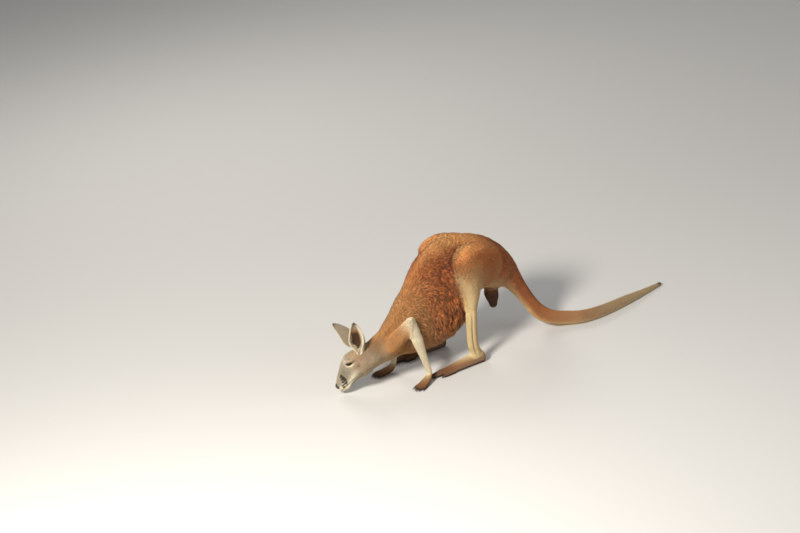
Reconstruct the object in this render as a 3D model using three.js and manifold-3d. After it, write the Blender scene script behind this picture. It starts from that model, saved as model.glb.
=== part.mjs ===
// Red kangaroo, adult male, life size, drinking with its forepaws on the ground.
// Millimetres, +Z up, floor at z = 0. The animal faces -X; its left side faces -Y.
import * as THREE from "three";
import { LoftGeometry } from "three/addons/geometries/LoftGeometry.js";
import { mergeVertices } from "three/addons/utils/BufferGeometryUtils.js";
import Module from "manifold-3d";

const wasm = await Module();
wasm.setup();

// ---- driving dimensions -------------------------------------------------
const GAP = 0.35; // clear space between two neighbouring pieces
const RIGHT_LEG = { forward: 22, taller: 1.05 }; // how its knee and thigh differ from the left's
const FOOT = { heel: [26, -134], splay: { left: -8, right: 6 } }; // heel on the floor, toes turned out by degrees
const HAND_SPLAY = 16; // degrees the hands turn out
const HEAD = { muzzle: [-562, 98, 34], pitch: 45, yaw: 37 }; // muzzle tip, then degrees down and round
const HEAD_END = 203; // where the head meets the neck, back from the muzzle tip
const EAR = { root: [191.5, 46.5, 27], width: 80, wall: 5 };
const EAR_REACH = { left: [85, 99, 10], right: [-14, 130, -69] }; // root to tip: back, up, left
const EAR_OPEN = { left: [-0.35, 0.1, 0.9], right: [-0.8, 0.2, -0.6] };
const EYE = { radius: 14.5, place: [123, 43.5, 34] };
const NOSE = { place: [3, 10, 0], radii: [13, 15.5, 19.5] };

const COAT = { rufous: 0xa9552c, grey: 0x8f8578, pale: 0xd9c7a4, fawn: 0xb98a5a };
const HORN = 0x2a211c;

// ---- materials ----------------------------------------------------------
function fur(color) {
  return new THREE.MeshStandardMaterial({ color, roughness: 0.95, metalness: 0 });
}

function horn() {
  return new THREE.MeshStandardMaterial({ color: HORN, roughness: 0.45, metalness: 0 });
}

// ---- solids -------------------------------------------------------------
// A three.js geometry as a manifold solid.
function solid(geometry) {
  const bare = new THREE.BufferGeometry();
  bare.setAttribute("position", geometry.getAttribute("position"));
  bare.setIndex(geometry.getIndex());
  const merged = mergeVertices(bare, 1e-3);
  return new wasm.Manifold(
    new wasm.Mesh({
      numProp: 3,
      vertProperties: merged.attributes.position.array,
      triVerts: new Uint32Array(merged.index.array),
    })
  );
}

// The largest body of a cut solid: a cut can leave slivers behind.
function largest(shape) {
  const bodies = shape.decompose();
  return bodies.reduce((a, b) => (b.volume() > a.volume() ? b : a));
}

// The part of a solid that stands above the floor, which gives its resting flat.
function aboveFloor(shape) {
  return shape.trimByPlane([0, 0, 1], 0);
}

// A solid as a named mesh.
function piece(name, shape, material) {
  const { vertProperties, triVerts } = largest(shape).getMesh();
  const geometry = new THREE.BufferGeometry();
  geometry.setAttribute("position", new THREE.BufferAttribute(new Float32Array(vertProperties), 3));
  geometry.setIndex(new THREE.BufferAttribute(new Uint32Array(triVerts), 1));
  geometry.computeVertexNormals();
  const mesh = new THREE.Mesh(geometry, material);
  mesh.name = name;
  return mesh;
}

// ---- lofts --------------------------------------------------------------
// Rows of numbers, read as one smooth curve: at(2.5) is halfway from row 2 to row 3.
function smoothRows(rows) {
  const places = rows.map((_, i) => i);
  const curve = new THREE.CubicInterpolant(places, rows.flat(), rows[0].length);
  return (t) => Array.from(curve.evaluate(THREE.MathUtils.clamp(t, 0, rows.length - 1)));
}

// One closed ring of points: an oval with its own reach up, down and to each side.
// squareness 2 is an ellipse, and more is boxier.
function oval({ centre, up, side, above, below, half, squareness = 2, sides }) {
  const points = [];
  const power = 2 / squareness;
  for (let i = 0; i < sides; i++) {
    const angle = (i / sides) * 2 * Math.PI;
    const c = Math.cos(angle);
    const s = Math.sin(angle);
    const rise = Math.sign(c) * Math.abs(c) ** power * (c > 0 ? above : below);
    const spread = Math.sign(s) * Math.abs(s) ** power * half;
    points.push(centre.clone().addScaledVector(up, rise).addScaledVector(side, spread));
  }
  return points;
}

// A closed loft through rings, turned so that its faces point outwards: each ring has to
// run counterclockwise as seen from the loft's far end.
function loft(rings) {
  const [first, second] = rings;
  const area = new THREE.Vector3();
  first.forEach((point, i) => {
    area.add(new THREE.Vector3().crossVectors(point, first[(i + 1) % first.length]));
  });
  const way = new THREE.Vector3();
  first.forEach((point, i) => way.add(second[i]).sub(point));
  const ordered = area.dot(way) < 0 ? rings.map((ring) => [...ring].reverse()) : rings;
  return solid(new LoftGeometry(ordered, { capStart: true, capEnd: true }));
}

// A limb or digit: rows of [x, y, z, front, back, half] along its length. Front is how far
// it reaches towards `ahead`, back the other way, and half how far to each side. An end may
// be a dome of the given height.
function limb(rows, shape) {
  const { ahead, sides, sections, grow = 0, roundStart = 0, roundEnd = 0, domeRings = 2 } = shape;
  const at = smoothRows(rows);
  const last = rows.length - 1;
  const rings = [];
  const ring = (t, shrink = 1, along = 0) => {
    const [x, y, z, front, back, half] = at(t);
    const before = new THREE.Vector3(...at(t - 0.05));
    const way = new THREE.Vector3(...at(t + 0.05)).sub(before).normalize();
    const side = new THREE.Vector3().crossVectors(way, ahead).normalize();
    const up = new THREE.Vector3().crossVectors(side, way).normalize();
    const centre = new THREE.Vector3(x, y, z).addScaledVector(way, along);
    const above = (front + grow) * shrink;
    const below = (back + grow) * shrink;
    rings.push(oval({ centre, up, side, above, below, half: (half + grow) * shrink, sides }));
  };
  const domeStep = Math.PI / 2 / (domeRings + 0.5);
  const dome = Array.from({ length: domeRings }, (_, i) => (i + 1) * domeStep);
  if (roundStart) {
    dome.toReversed().forEach((a) => ring(0, Math.cos(a), -Math.sin(a) * roundStart - grow));
  }
  for (let i = 0; i <= sections; i++) ring((i / sections) * last);
  if (roundEnd) dome.forEach((a) => ring(last, Math.cos(a), Math.sin(a) * roundEnd + grow));
  return loft(rings);
}

// ---- axial body: tail, trunk and neck as one run of sections ------------
// [x, y, z] centre, [tilt, yaw] in degrees, [above, below, half] reach, squareness.
// Tilt leans a section's top backwards; yaw turns it to the animal's right.
const BODY = [
  // tail, from the tip to the root
  [1030, -152, 8, 0, -10, 7, 9, 8, 2],
  [918, -171, 14, 0, -8, 13, 15, 13, 2],
  [798, -186, 21, 0, -5, 20, 22.5, 20, 2],
  [663, -195, 25, 0, 2, 24.5, 27, 24, 2],
  [566, -180, 28, 2, 20, 28, 30, 27, 2],
  [505, -135, 31, 8, 30, 31, 33, 30, 2],
  [449, -99, 46, 26, 38, 33, 33, 32, 2],
  [408, -68, 82, 52, 38, 35, 35, 34, 2],
  [381, -42, 136, 66, 36, 37, 37, 36, 2],
  [356, -22, 194, 64, 30, 40, 41, 40, 2],
  [327, -6, 250, 52, 18, 54, 52, 48, 2],
  [291, 0, 297, 34, 6, 80, 74, 61, 2],
  // rump and belly
  [232, 0, 342, 25, 0, 103, 92, 82, 2.1],
  [156, 0, 378, 18, 0, 123, 112, 99, 2.15],
  [78, 0, 384, 7, 0, 150, 150, 105, 2.2],
  [11, 0, 350, -3, 0, 194, 192, 108, 2.2],
  [-54, 0, 325, -4, 2, 208, 208, 113, 2.15],
  [-119, 2, 304, -4, 4, 184, 202, 117, 2.1],
  // ribs and chest
  [-187, 4, 277, -4, 6, 138, 180, 110, 2.1],
  [-255, 8, 240, -3, 8, 100, 140, 95, 2.1],
  [-313, 12, 210, -1, 11, 76, 98, 79, 2.1],
  // neck
  [-373, 16, 186, 0, 16, 58, 82, 64, 2.05],
  [-430, 23, 168, 2, 24, 56, 74, 57, 2],
  [-480, 36, 150, 10, 32, 56, 64, 50, 2],
];
const BODY_CUTS = { tip: 2.6, middle: 5.4, base: 11, rump: 15.5, chest: 20.5, neck: 23 };
const BODY_SIDES = 18;
const TAIL_SIDES = 12;

const bodyAt = smoothRows(BODY);

function bodyRing(t, sides, shift) {
  const [x, y, z, tilt, yaw, above, below, half, squareness] = bodyAt(t);
  const lean = THREE.MathUtils.degToRad(tilt);
  const turn = THREE.MathUtils.degToRad(yaw);
  const back = new THREE.Vector3(Math.cos(turn), -Math.sin(turn), 0);
  const up = back.clone().multiplyScalar(Math.sin(lean)).setZ(Math.cos(lean));
  const side = new THREE.Vector3(-Math.sin(turn), -Math.cos(turn), 0);
  const along = new THREE.Vector3().crossVectors(side, up);
  const centre = new THREE.Vector3(x, y, z).addScaledVector(along, shift);
  return oval({ centre, up, side, above, below, half, squareness, sides });
}

// The stretch of the body between two places on BODY, with a flat cut at each end.
function bodyStretch(from, to, sections, sides = BODY_SIDES) {
  const rings = [];
  for (let i = 0; i <= sections; i++) {
    let shift = 0;
    if (i === 0) shift = GAP / 2;
    if (i === sections) shift = -GAP / 2;
    rings.push(bodyRing(from + ((to - from) * i) / sections, sides, shift));
  }
  return loft(rings);
}

// ---- head ---------------------------------------------------------------
// The head has its own frame: u runs back from the muzzle tip, v up and w to its left.
const pitch = THREE.MathUtils.degToRad(HEAD.pitch);
const headYaw = THREE.MathUtils.degToRad(HEAD.yaw);
const HEAD_BACK = new THREE.Vector3(
  Math.cos(pitch) * Math.cos(headYaw),
  -Math.cos(pitch) * Math.sin(headYaw),
  Math.sin(pitch)
);
const HEAD_LEFT = new THREE.Vector3(-Math.sin(headYaw), -Math.cos(headYaw), 0);
const HEAD_UP = new THREE.Vector3().crossVectors(HEAD_LEFT, HEAD_BACK);

function headPoint(u, v, w) {
  return new THREE.Vector3(...HEAD.muzzle)
    .addScaledVector(HEAD_BACK, u)
    .addScaledVector(HEAD_UP, v)
    .addScaledVector(HEAD_LEFT, w);
}

// [u, centre v, above, below, half, squareness]
const HEAD_ROWS = [
  [-7, -4, 13, 13, 12, 2],
  [1, 0, 22, 25, 20, 2.2],
  [16, 3, 31, 33, 25, 2.3],
  [42, 8, 39, 40, 29, 2.3],
  [70, 12, 48, 47, 35, 2.2],
  [96, 13, 57, 57, 44, 2.15],
  [122, 12, 63, 67, 51, 2.1],
  [150, 7, 64, 70, 52, 2.05],
  [180, -1, 60, 62, 50, 2],
  [205, -10, 52, 54, 48, 2],
  [228, -18, 46, 50, 45, 2],
];

function headShape() {
  const at = smoothRows(HEAD_ROWS);
  const rings = [];
  const sections = 13;
  for (let i = 0; i <= sections; i++) {
    const [u, v, above, below, half, squareness] = at((i / sections) * (HEAD_ROWS.length - 1));
    rings.push(
      oval({
        centre: headPoint(u, v, 0),
        up: HEAD_UP,
        side: HEAD_LEFT,
        above,
        below,
        half,
        squareness,
        sides: 16,
      })
    );
  }
  return loft(rings);
}

// A ball or egg, by its centre and its radii along the head's own axes.
function headEgg([u, v, w], [alongU, alongV, alongW], grow, across = 8, down = 6) {
  const geometry = new THREE.SphereGeometry(1, across, down);
  const radii = new THREE.Vector3(alongU + grow, alongV + grow, alongW + grow);
  const axes = new THREE.Matrix4().makeBasis(HEAD_BACK, HEAD_UP, HEAD_LEFT).scale(radii);
  geometry.applyMatrix4(axes.setPosition(headPoint(u, v, w)));
  return solid(geometry);
}

// A vector in the head's frame, pointed in the world.
function headWay([u, v, w]) {
  return headPoint(u, v, w).sub(headPoint(0, 0, 0));
}

// An ear is a cupped leaf: a run of crescents, each an arc with a wall, from the root
// tube to the rounded tip.
function ear(side, grow = 0) {
  const [u, v, w] = EAR.root;
  const root = headPoint(u, v, side === "left" ? w : -w);
  const axis = headWay(EAR_REACH[side]);
  const reach = axis.length();
  axis.normalize();
  const across = new THREE.Vector3().crossVectors(axis, headWay(EAR_OPEN[side])).normalize();
  const face = new THREE.Vector3().crossVectors(across, axis).normalize();
  const rings = [];
  const sections = 7;
  const steps = 5;
  for (let i = 0; i <= sections; i++) {
    const t = i / sections;
    const leaf = Math.min(1, 0.5 + 1.2 * t) * Math.sqrt(Math.max(0.02, 1 - t ** 3));
    const halfArc = THREE.MathUtils.lerp(2.5, 1.25, Math.min(1, t * 1.6));
    const radius = ((EAR.width / 2) * leaf) / Math.sin(Math.min(halfArc, Math.PI / 2));
    const middle = root.clone().addScaledVector(axis, reach * t);
    middle.addScaledVector(face, 10 * Math.sin(Math.PI * t) - 4);
    const wall = EAR.wall * (1 - 0.4 * t);
    const ring = [];
    const arc = (r, from, to) => {
      for (let k = 0; k <= steps; k++) {
        const angle = from + ((to - from) * k) / steps;
        const point = middle.clone().addScaledVector(across, r * Math.sin(angle));
        ring.push(point.addScaledVector(face, -r * Math.cos(angle)));
      }
    };
    const spread = halfArc + grow / radius;
    arc(radius + grow, -spread, spread);
    arc(radius - wall - grow, spread, -spread);
    rings.push(ring);
  }
  return loft(rings);
}

// ---- limbs: [x, y, z, front, back, half], for the left side --------------
const THIGH = [
  [176, -64, 396, 80, 100, 54],
  [112, -74, 406, 98, 116, 60],
  [50, -88, 412, 100, 112, 60],
  [2, -104, 408, 84, 88, 50],
];
const SHANK = [
  [4, -106, 404, 50, 62, 38],
  [10, -112, 358, 46, 74, 41],
  [13, -119, 305, 37, 58, 36],
  [7, -124, 240, 28, 34, 28],
  [-4, -128, 160, 26, 27, 23],
  [-10, -132, 90, 26, 27, 23],
  [0, -134, 44, 27, 30, 24],
];
const SHOULDER = { left: [-372, -46, 186], right: [-336, 44, 190] };
const ELBOW = { left: [-306, -108, 296], right: [-206, 101, 270] };
const WRIST = { left: [-248, -120, 48], right: [-270, 96, 48] };
const UPPER_ARM = [[40, 46, 34], [42, 48, 36], [34, 42, 32], [28, 32, 27]];
const FOREARM = [[26, 30, 26], [28, 33, 27], [21, 24, 20], [16, 18, 15], [15, 16, 15]];

// Foot and hand rows run forward from the heel or wrist: [forward, outward, z, up, down, half].
// Soles and pads reach below z = 0, where the floor cuts them flat.
const SOLE = [
  [0, 0, 28, 30, 30, 23],
  [28, 0, 25, 32, 27, 24],
  [67, 1, 21, 27, 23, 24],
  [116, 3, 18, 22, 20, 25],
  [160, 4, 15, 18, 17, 25],
  [188, 4, 13, 15, 15, 22],
];
// Digits: rows as above, then the claw's length and half its thickness.
const TOES = [
  // fourth, the long one
  {
    rows: [[168, 2, 14, 15, 16, 14], [208, 2, 13, 14, 15, 13], [241, 1, 11, 12, 13, 11]],
    claw: 28,
    thick: 8.5,
  },
  // fifth, outside it
  {
    rows: [[148, 20, 12, 12, 14, 10], [177, 25, 11, 11, 13, 9], [201, 27, 9, 9, 11, 8]],
    claw: 20,
    thick: 6,
  },
  // second and third, small and bound together on the inside
  {
    rows: [[155, -18, 12, 9, 12, 7], [181, -19, 10, 8, 11, 6], [201, -19, 9, 7, 10, 5.5]],
    claw: 11,
    thick: 3.4,
  },
  {
    rows: [[155, -25, 12, 9, 12, 6], [180, -27, 10, 8, 11, 5.5], [197, -28, 9, 7, 10, 5]],
    claw: 11,
    thick: 3.4,
  },
];
const PALM = [
  [-4, 0, 36, 17, 20, 15],
  [18, 0, 24, 16, 22, 19],
  [46, 0, 15, 13, 17, 23],
  [66, 0, 11, 10, 13, 22],
];
const FINGER_PITCH = 9.5;
const FINGER_REACH = [74, 84, 90, 86, 76];
const FINGERS = FINGER_REACH.map((reach, i) => {
  const outward = (i - 2) * FINGER_PITCH;
  return {
    rows: [
      [50, outward * 0.8, 11, 9, 12, 6.5],
      [68, outward, 9, 8, 10, 6],
      [reach, outward * 1.15, 8, 7, 9, 5.5],
    ],
    claw: 19,
    thick: 4,
  };
});

const UP = new THREE.Vector3(0, 0, 1);
const AHEAD = new THREE.Vector3(-1, 0, 0);

// Turns a row [forward, outward, ...] into a row [x, y, ...] from a point on the floor.
function placed(rows, [x0, y0], splay) {
  const angle = THREE.MathUtils.degToRad(splay);
  const c = Math.cos(angle);
  const s = Math.sin(angle);
  return rows.map(([ahead, out, ...rest]) => {
    return [x0 - ahead * c + out * s, y0 - ahead * s - out * c, ...rest];
  });
}

// The same rows on the other side of the animal.
function mirrored(rows) {
  return rows.map(([x, y, ...rest]) => [x, -y, ...rest]);
}

// The right leg's rows, which lean forwards and stretch with their height.
function rightLeg(rows) {
  const { forward, taller } = RIGHT_LEG;
  return mirrored(rows).map(([x, y, z, ...rest]) => {
    return [x - forward * (z / 400), y, z * taller, ...rest];
  });
}

// A claw grows out of a toe's end, tapers and bends down to the floor.
function clawRows(rows, length, thick) {
  const [x1, y1, z1] = rows[rows.length - 1];
  const [x0, y0] = rows[rows.length - 2];
  const way = new THREE.Vector3(x1 - x0, y1 - y0, 0).normalize();
  const step = (along, z, reach) => {
    return [x1 + way.x * along, y1 + way.y * along, z, reach, reach, reach * 0.8];
  };
  const tipZ = thick * 0.35 + 0.5;
  return [
    step(-thick * 0.6, z1 + thick * 0.15, thick * 0.9),
    step(length * 0.4, z1 * 0.9, thick * 0.8),
    step(length * 0.75, (z1 + tipZ) * 0.5, thick * 0.55),
    step(length, tipZ, thick * 0.3),
  ];
}

// ---- assembly -----------------------------------------------------------
const group = new THREE.Group();

function add(name, shape, material) {
  group.add(piece(name, aboveFloor(shape), material));
}

// Everything that grows from the end of one leg or arm: its pad, toes and claws.
function paw(name, base, digits, corner, splay, side, cutter, material) {
  const place = (rows) => {
    const there = placed(rows, corner, splay);
    return side === "left" ? there : mirrored(there);
  };
  const options = { ahead: UP, sides: 8, sections: 3, roundStart: 14, roundEnd: 10 };
  let flesh = limb(place(base), options);
  digits.forEach(({ rows }) => {
    flesh = flesh.add(limb(place(rows), { ahead: UP, sides: 5, sections: 1, roundEnd: 5, domeRings: 1 }));
  });
  digits.forEach(({ rows, claw, thick }, i) => {
    const path = clawRows(place(rows), claw, thick);
    const shape = { ahead: UP, sides: 5, sections: 2 };
    add(`${name}_claw_${side}_${i + 1}`, limb(path, shape), horn());
    flesh = flesh.subtract(limb(path, { ...shape, grow: GAP, roundStart: GAP }));
  });
  add(`${name}_${side}`, flesh.subtract(cutter), material);
}

function hindLeg(side) {
  const place = (rows) => (side === "left" ? rows : rightLeg(rows));
  const thigh = (grow = 0) =>
    limb(place(THIGH), { ahead: UP, sides: 14, sections: 4, grow, roundStart: 60, roundEnd: 34 });
  const shank = (grow = 0) =>
    limb(place(SHANK), { ahead: AHEAD, sides: 10, sections: 6, grow, roundEnd: 14 });
  add(`thigh_${side}`, thigh(), fur(COAT.rufous));
  add(`shank_${side}`, shank().subtract(thigh(GAP)), fur(COAT.pale));
  paw("foot", SOLE, TOES, FOOT.heel, FOOT.splay[side], side, shank(GAP), fur(COAT.fawn));
  return thigh(GAP).add(shank(GAP));
}

// A straight bone's rows: its reaches spread evenly from one joint to the next.
function between(from, to, reaches) {
  return reaches.map((reach, i) => {
    const t = i / (reaches.length - 1);
    return [...from.map((value, axis) => value + (to[axis] - value) * t), ...reach];
  });
}

function foreLeg(side) {
  const upperRows = between(SHOULDER[side], ELBOW[side], UPPER_ARM);
  const lowerRows = between(ELBOW[side], WRIST[side], FOREARM);
  const upper = (grow = 0) =>
    limb(upperRows, { ahead: AHEAD, sides: 10, sections: 3, grow, roundStart: 26, roundEnd: 22 });
  const lower = (grow = 0) =>
    limb(lowerRows, { ahead: AHEAD, sides: 9, sections: 4, grow, roundStart: 22, roundEnd: 8 });
  add(`upper_arm_${side}`, upper(), fur(COAT.fawn));
  add(`forearm_${side}`, lower().subtract(upper(GAP)), fur(COAT.pale));
  const [x, y] = WRIST[side];
  paw("hand", PALM, FINGERS, [x, -Math.abs(y)], HAND_SPLAY, side, lower(GAP), fur(COAT.fawn));
  return upper(GAP).add(lower(GAP));
}

const SCROTUM = [
  [212, 0, 268, 24, 24, 22],
  [217, -1, 232, 33, 33, 28],
  [221, -2, 198, 29, 30, 25],
  [222, -2, 170, 19, 20, 17],
];

const hind = hindLeg("left").add(hindLeg("right"));
const fore = foreLeg("left").add(foreLeg("right"));

const scrotum = (grow = 0) =>
  limb(SCROTUM, { ahead: AHEAD, sides: 10, sections: 4, grow, roundEnd: 22 });
add("scrotum", scrotum(), fur(COAT.grey));

const { tip, middle, base, rump, chest, neck } = BODY_CUTS;
add("tail_tip", bodyStretch(0, tip, 4, TAIL_SIDES), fur(COAT.pale));
add("tail_middle", bodyStretch(tip, middle, 4, TAIL_SIDES), fur(COAT.fawn));
add("tail_base", bodyStretch(middle, base, 10, TAIL_SIDES), fur(COAT.rufous));
const rear = bodyStretch(base, rump, 8).subtract(hind).subtract(scrotum(GAP));
add("trunk_rear", rear, fur(COAT.rufous));
add("trunk_front", bodyStretch(rump, chest, 8).subtract(hind).subtract(fore), fur(COAT.rufous));

// Neck and head are one shape, cut apart square to the head.
const whole = bodyStretch(chest, neck, 4).add(headShape());
const cut = headPoint(HEAD_END, 0, 0).dot(HEAD_BACK);
const nape = whole.trimByPlane(HEAD_BACK.toArray(), cut + GAP / 2);
let skull = whole.trimByPlane(HEAD_BACK.clone().negate().toArray(), GAP / 2 - cut);
const ears = ear("left", GAP).add(ear("right", GAP));
add("neck", nape.subtract(fore).subtract(ears), fur(COAT.grey));
skull = skull.subtract(ears);

["left", "right"].forEach((side) => {
  const [u, v, w] = EYE.place;
  const place = [u, v, side === "left" ? w : -w];
  const radii = [EYE.radius, EYE.radius, EYE.radius];
  add(`ear_${side}`, ear(side), fur(COAT.grey));
  add(`eye_${side}`, headEgg(place, radii, 0), horn());
  skull = skull.subtract(headEgg(place, radii, GAP));
});
add("nose", headEgg(NOSE.place, NOSE.radii, 0), horn());
add("head", skull.subtract(headEgg(NOSE.place, NOSE.radii, GAP)), fur(COAT.grey));

// The origin is under the middle of the animal, on the floor.
const box = new THREE.Box3().setFromObject(group);
const centre = box.getCenter(new THREE.Vector3());
group.position.set(-centre.x, -centre.y, 0);

export default group;
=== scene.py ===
import math

import bpy
import numpy as np
from mathutils import Matrix, Vector


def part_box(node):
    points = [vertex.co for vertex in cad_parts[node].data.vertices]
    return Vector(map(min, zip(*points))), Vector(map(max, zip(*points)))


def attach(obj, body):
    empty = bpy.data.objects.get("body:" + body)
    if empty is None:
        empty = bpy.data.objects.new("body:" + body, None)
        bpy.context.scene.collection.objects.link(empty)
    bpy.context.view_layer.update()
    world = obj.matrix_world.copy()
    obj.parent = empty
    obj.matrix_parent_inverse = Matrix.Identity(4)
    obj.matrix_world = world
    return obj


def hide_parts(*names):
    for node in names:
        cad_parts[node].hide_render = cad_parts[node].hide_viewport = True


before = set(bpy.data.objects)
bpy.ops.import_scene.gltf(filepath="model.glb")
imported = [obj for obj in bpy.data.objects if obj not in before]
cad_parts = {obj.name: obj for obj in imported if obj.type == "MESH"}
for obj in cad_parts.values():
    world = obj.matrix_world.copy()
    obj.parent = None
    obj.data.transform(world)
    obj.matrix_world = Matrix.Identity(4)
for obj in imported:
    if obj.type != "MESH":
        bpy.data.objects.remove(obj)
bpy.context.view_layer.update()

mm = 0.001
bothSides = ("left", "right")


def unit(vectors):
    return vectors / np.maximum(np.linalg.norm(vectors, axis=-1, keepdims=True), 1e-12)


def ramp(values, start, end):
    # 0 before start, 1 after end, smooth between: 3t^2 - 2t^3
    t = np.clip((values - start) / (end - start), 0, 1)
    return t * t * (3 - 2 * t)


def bump(values, peak, reach):
    # bell curve exp(-((x - peak) / reach)^2)
    return np.exp(-(((values - peak) / reach) ** 2))


noisePrimes = (73856093, 19349663, 83492791, 7919, 1274126177)  # odd multipliers that scatter neighbours


def cellNoise(points, size, seed):
    # smooth value noise in -1..1: hashed numbers at the corners of cubic cells, blended by 3t^2 - 2t^3
    alongX, alongY, alongZ, bySeed, scatter = noisePrimes
    scaled = points / size
    base = np.floor(scaled).astype(np.int64)
    part = scaled - base
    part = part * part * (3 - 2 * part)
    total = np.zeros(len(points))
    for corner in range(8):
        step = np.array([corner & 1, corner >> 1 & 1, corner >> 2 & 1])
        cell = base + step
        mixed = cell[:, 0] * alongX ^ cell[:, 1] * alongY ^ cell[:, 2] * alongZ ^ seed * bySeed
        mixed = (mixed ^ mixed >> 13) * scatter & 0x7FFFFFFF
        mixed = (mixed ^ mixed >> 15) & 0xFFFF
        weight = np.where(step, part, 1 - part).prod(axis=1)
        total += weight * (mixed / 32767.5 - 1)
    return total


def rowsAt(rows, places):
    # Catmull-Rom curve through table rows, read at fractional row places
    rows = np.asarray(rows, float)
    last = len(rows) - 1
    first = np.clip(np.floor(places).astype(int), 0, last - 1)
    t = (np.asarray(places, float) - first)[:, None]
    before = np.where((first > 0)[:, None], rows[np.maximum(first - 1, 0)], 2 * rows[0] - rows[1])
    after = np.where((first < last - 1)[:, None], rows[np.minimum(first + 2, last)], 2 * rows[-1] - rows[-2])
    p1, p2 = rows[first], rows[first + 1]
    m1, m2 = (p2 - before) / 2, (after - p1) / 2
    return ((2 * t**3 - 3 * t**2 + 1) * p1 + (t**3 - 2 * t**2 + t) * m1
            + (-2 * t**3 + 3 * t**2) * p2 + (t**3 - t**2) * m2)


def makeMesh(name, points, faces, smooth=True):
    # faces is an (n, 3) or (n, 4) array of corner numbers
    mesh = bpy.data.meshes.new(name)
    corners = faces.shape[1]
    mesh.vertices.add(len(points))
    mesh.vertices.foreach_set("co", np.ascontiguousarray(points, np.float32).ravel())
    mesh.loops.add(faces.size)
    mesh.loops.foreach_set("vertex_index", faces.astype(np.int32).ravel())
    mesh.polygons.add(len(faces))
    mesh.polygons.foreach_set("loop_start", np.arange(0, faces.size, corners, dtype=np.int32))
    mesh.polygons.foreach_set("loop_total", np.full(len(faces), corners, np.int32))
    mesh.polygons.foreach_set("use_smooth", np.full(len(faces), smooth))
    mesh.update(calc_edges=True)
    return mesh


def addObject(name, mesh):
    made = bpy.data.objects.new(name, mesh)
    bpy.context.scene.collection.objects.link(made)
    return made


def readPoints(mesh):
    points = np.empty(len(mesh.vertices) * 3, np.float32)
    mesh.vertices.foreach_get("co", points)
    return points.reshape(-1, 3).astype(float)


def readEdges(mesh):
    ends = np.empty(len(mesh.edges) * 2, np.int32)
    mesh.edges.foreach_get("vertices", ends)
    return ends.reshape(-1, 2)


def readNormals(mesh):
    normals = np.empty(len(mesh.vertices) * 3, np.float32)
    mesh.vertex_normals.foreach_get("vector", normals)
    return normals.reshape(-1, 3).astype(float)


def setFloats(mesh, name, values):
    mesh.attributes.new(name, "FLOAT", "POINT").data.foreach_set("value", values.astype(np.float32))


def tube(rings):
    # closed skin over rings (n, sides, 3): quads between rings, a fan of triangles at each end;
    # returned as triangles, turned so that they face outwards
    count, sides = rings.shape[:2]
    points = np.concatenate([rings.reshape(-1, 3), rings[0].mean(0)[None], rings[-1].mean(0)[None]])
    i, j = np.meshgrid(np.arange(count - 1), np.arange(sides), indexing="ij")
    a = (i * sides + j).ravel()
    b = (i * sides + (j + 1) % sides).ravel()
    c, d = b + sides, a + sides
    ring = np.arange(sides)
    nextRing = (ring + 1) % sides
    start, end = np.full(sides, count * sides), np.full(sides, count * sides + 1)
    top = (count - 1) * sides
    faces = np.concatenate([
        np.stack([a, b, c], 1), np.stack([a, c, d], 1),
        np.stack([start, nextRing, ring], 1), np.stack([end, top + ring, top + nextRing], 1)])
    p, q, r = points[faces[:, 0]], points[faces[:, 1]], points[faces[:, 2]]
    if np.einsum("ij,ij->", p, np.cross(q, r)) < 0:
        faces = faces[:, ::-1]
    return points, faces


def joinShells(shells):
    points, faces, start = [], [], 0
    for shellPoints, shellFaces in shells:
        points.append(shellPoints)
        faces.append(shellFaces + start)
        start += len(shellPoints)
    return np.concatenate(points), np.concatenate(faces)


noseMiddle = np.array([-566.54, 101.38, 42.485])  # the nose in the tables
# from the tables' origin to the frame's
middle = np.round(np.mean(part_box("nose"), axis=0) / mm - noseMiddle, 1) * [1, 1, 0]

tailAndTrunk = {
    # x, y, z, tilt, yaw, above, below, half, squareness, from the tail's tip to the neck
    "rows": [
        [1030, -152, 8, 0, -10, 7, 9, 8, 2], [918, -171, 14, 0, -8, 13, 15, 13, 2],
        [798, -186, 21, 0, -5, 20, 22.5, 20, 2], [663, -195, 25, 0, 2, 24.5, 27, 24, 2],
        [566, -180, 28, 2, 20, 28, 30, 27, 2], [505, -135, 31, 8, 30, 31, 33, 30, 2],
        [449, -99, 46, 26, 38, 33, 33, 32, 2], [408, -68, 82, 52, 38, 35, 35, 34, 2],
        [381, -42, 136, 66, 36, 37, 37, 36, 2], [356, -22, 194, 64, 30, 40, 41, 40, 2],
        [327, -6, 250, 52, 18, 54, 52, 48, 2], [291, 0, 297, 34, 6, 80, 74, 61, 2],
        [232, 0, 342, 25, 0, 103, 92, 82, 2.1], [156, 0, 378, 18, 0, 123, 112, 99, 2.15],
        [78, 0, 384, 7, 0, 150, 150, 105, 2.2], [11, 0, 350, -3, 0, 194, 192, 108, 2.2],
        [-54, 0, 325, -4, 2, 208, 208, 113, 2.15], [-119, 2, 304, -4, 4, 184, 202, 117, 2.1],
        [-187, 4, 277, -4, 6, 138, 180, 110, 2.1], [-255, 8, 240, -3, 8, 100, 140, 95, 2.1],
        [-313, 12, 210, -1, 11, 76, 98, 79, 2.1], [-373, 16, 186, 0, 16, 58, 82, 64, 2.05],
        [-430, 23, 168, 2, 24, 56, 74, 57, 2], [-480, 36, 150, 10, 32, 56, 64, 50, 2]],
    "tipRows": 0.07,  # the tail's tip is a dome over this share of its first row
    # skin's depth under the coat's tips, by row place
    "depth": ([0, 3, 6, 11, 14, 18, 21, 23], [1.5, 2.5, 3, 4, 5, 5.5, 4.5, 3]),
}
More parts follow.
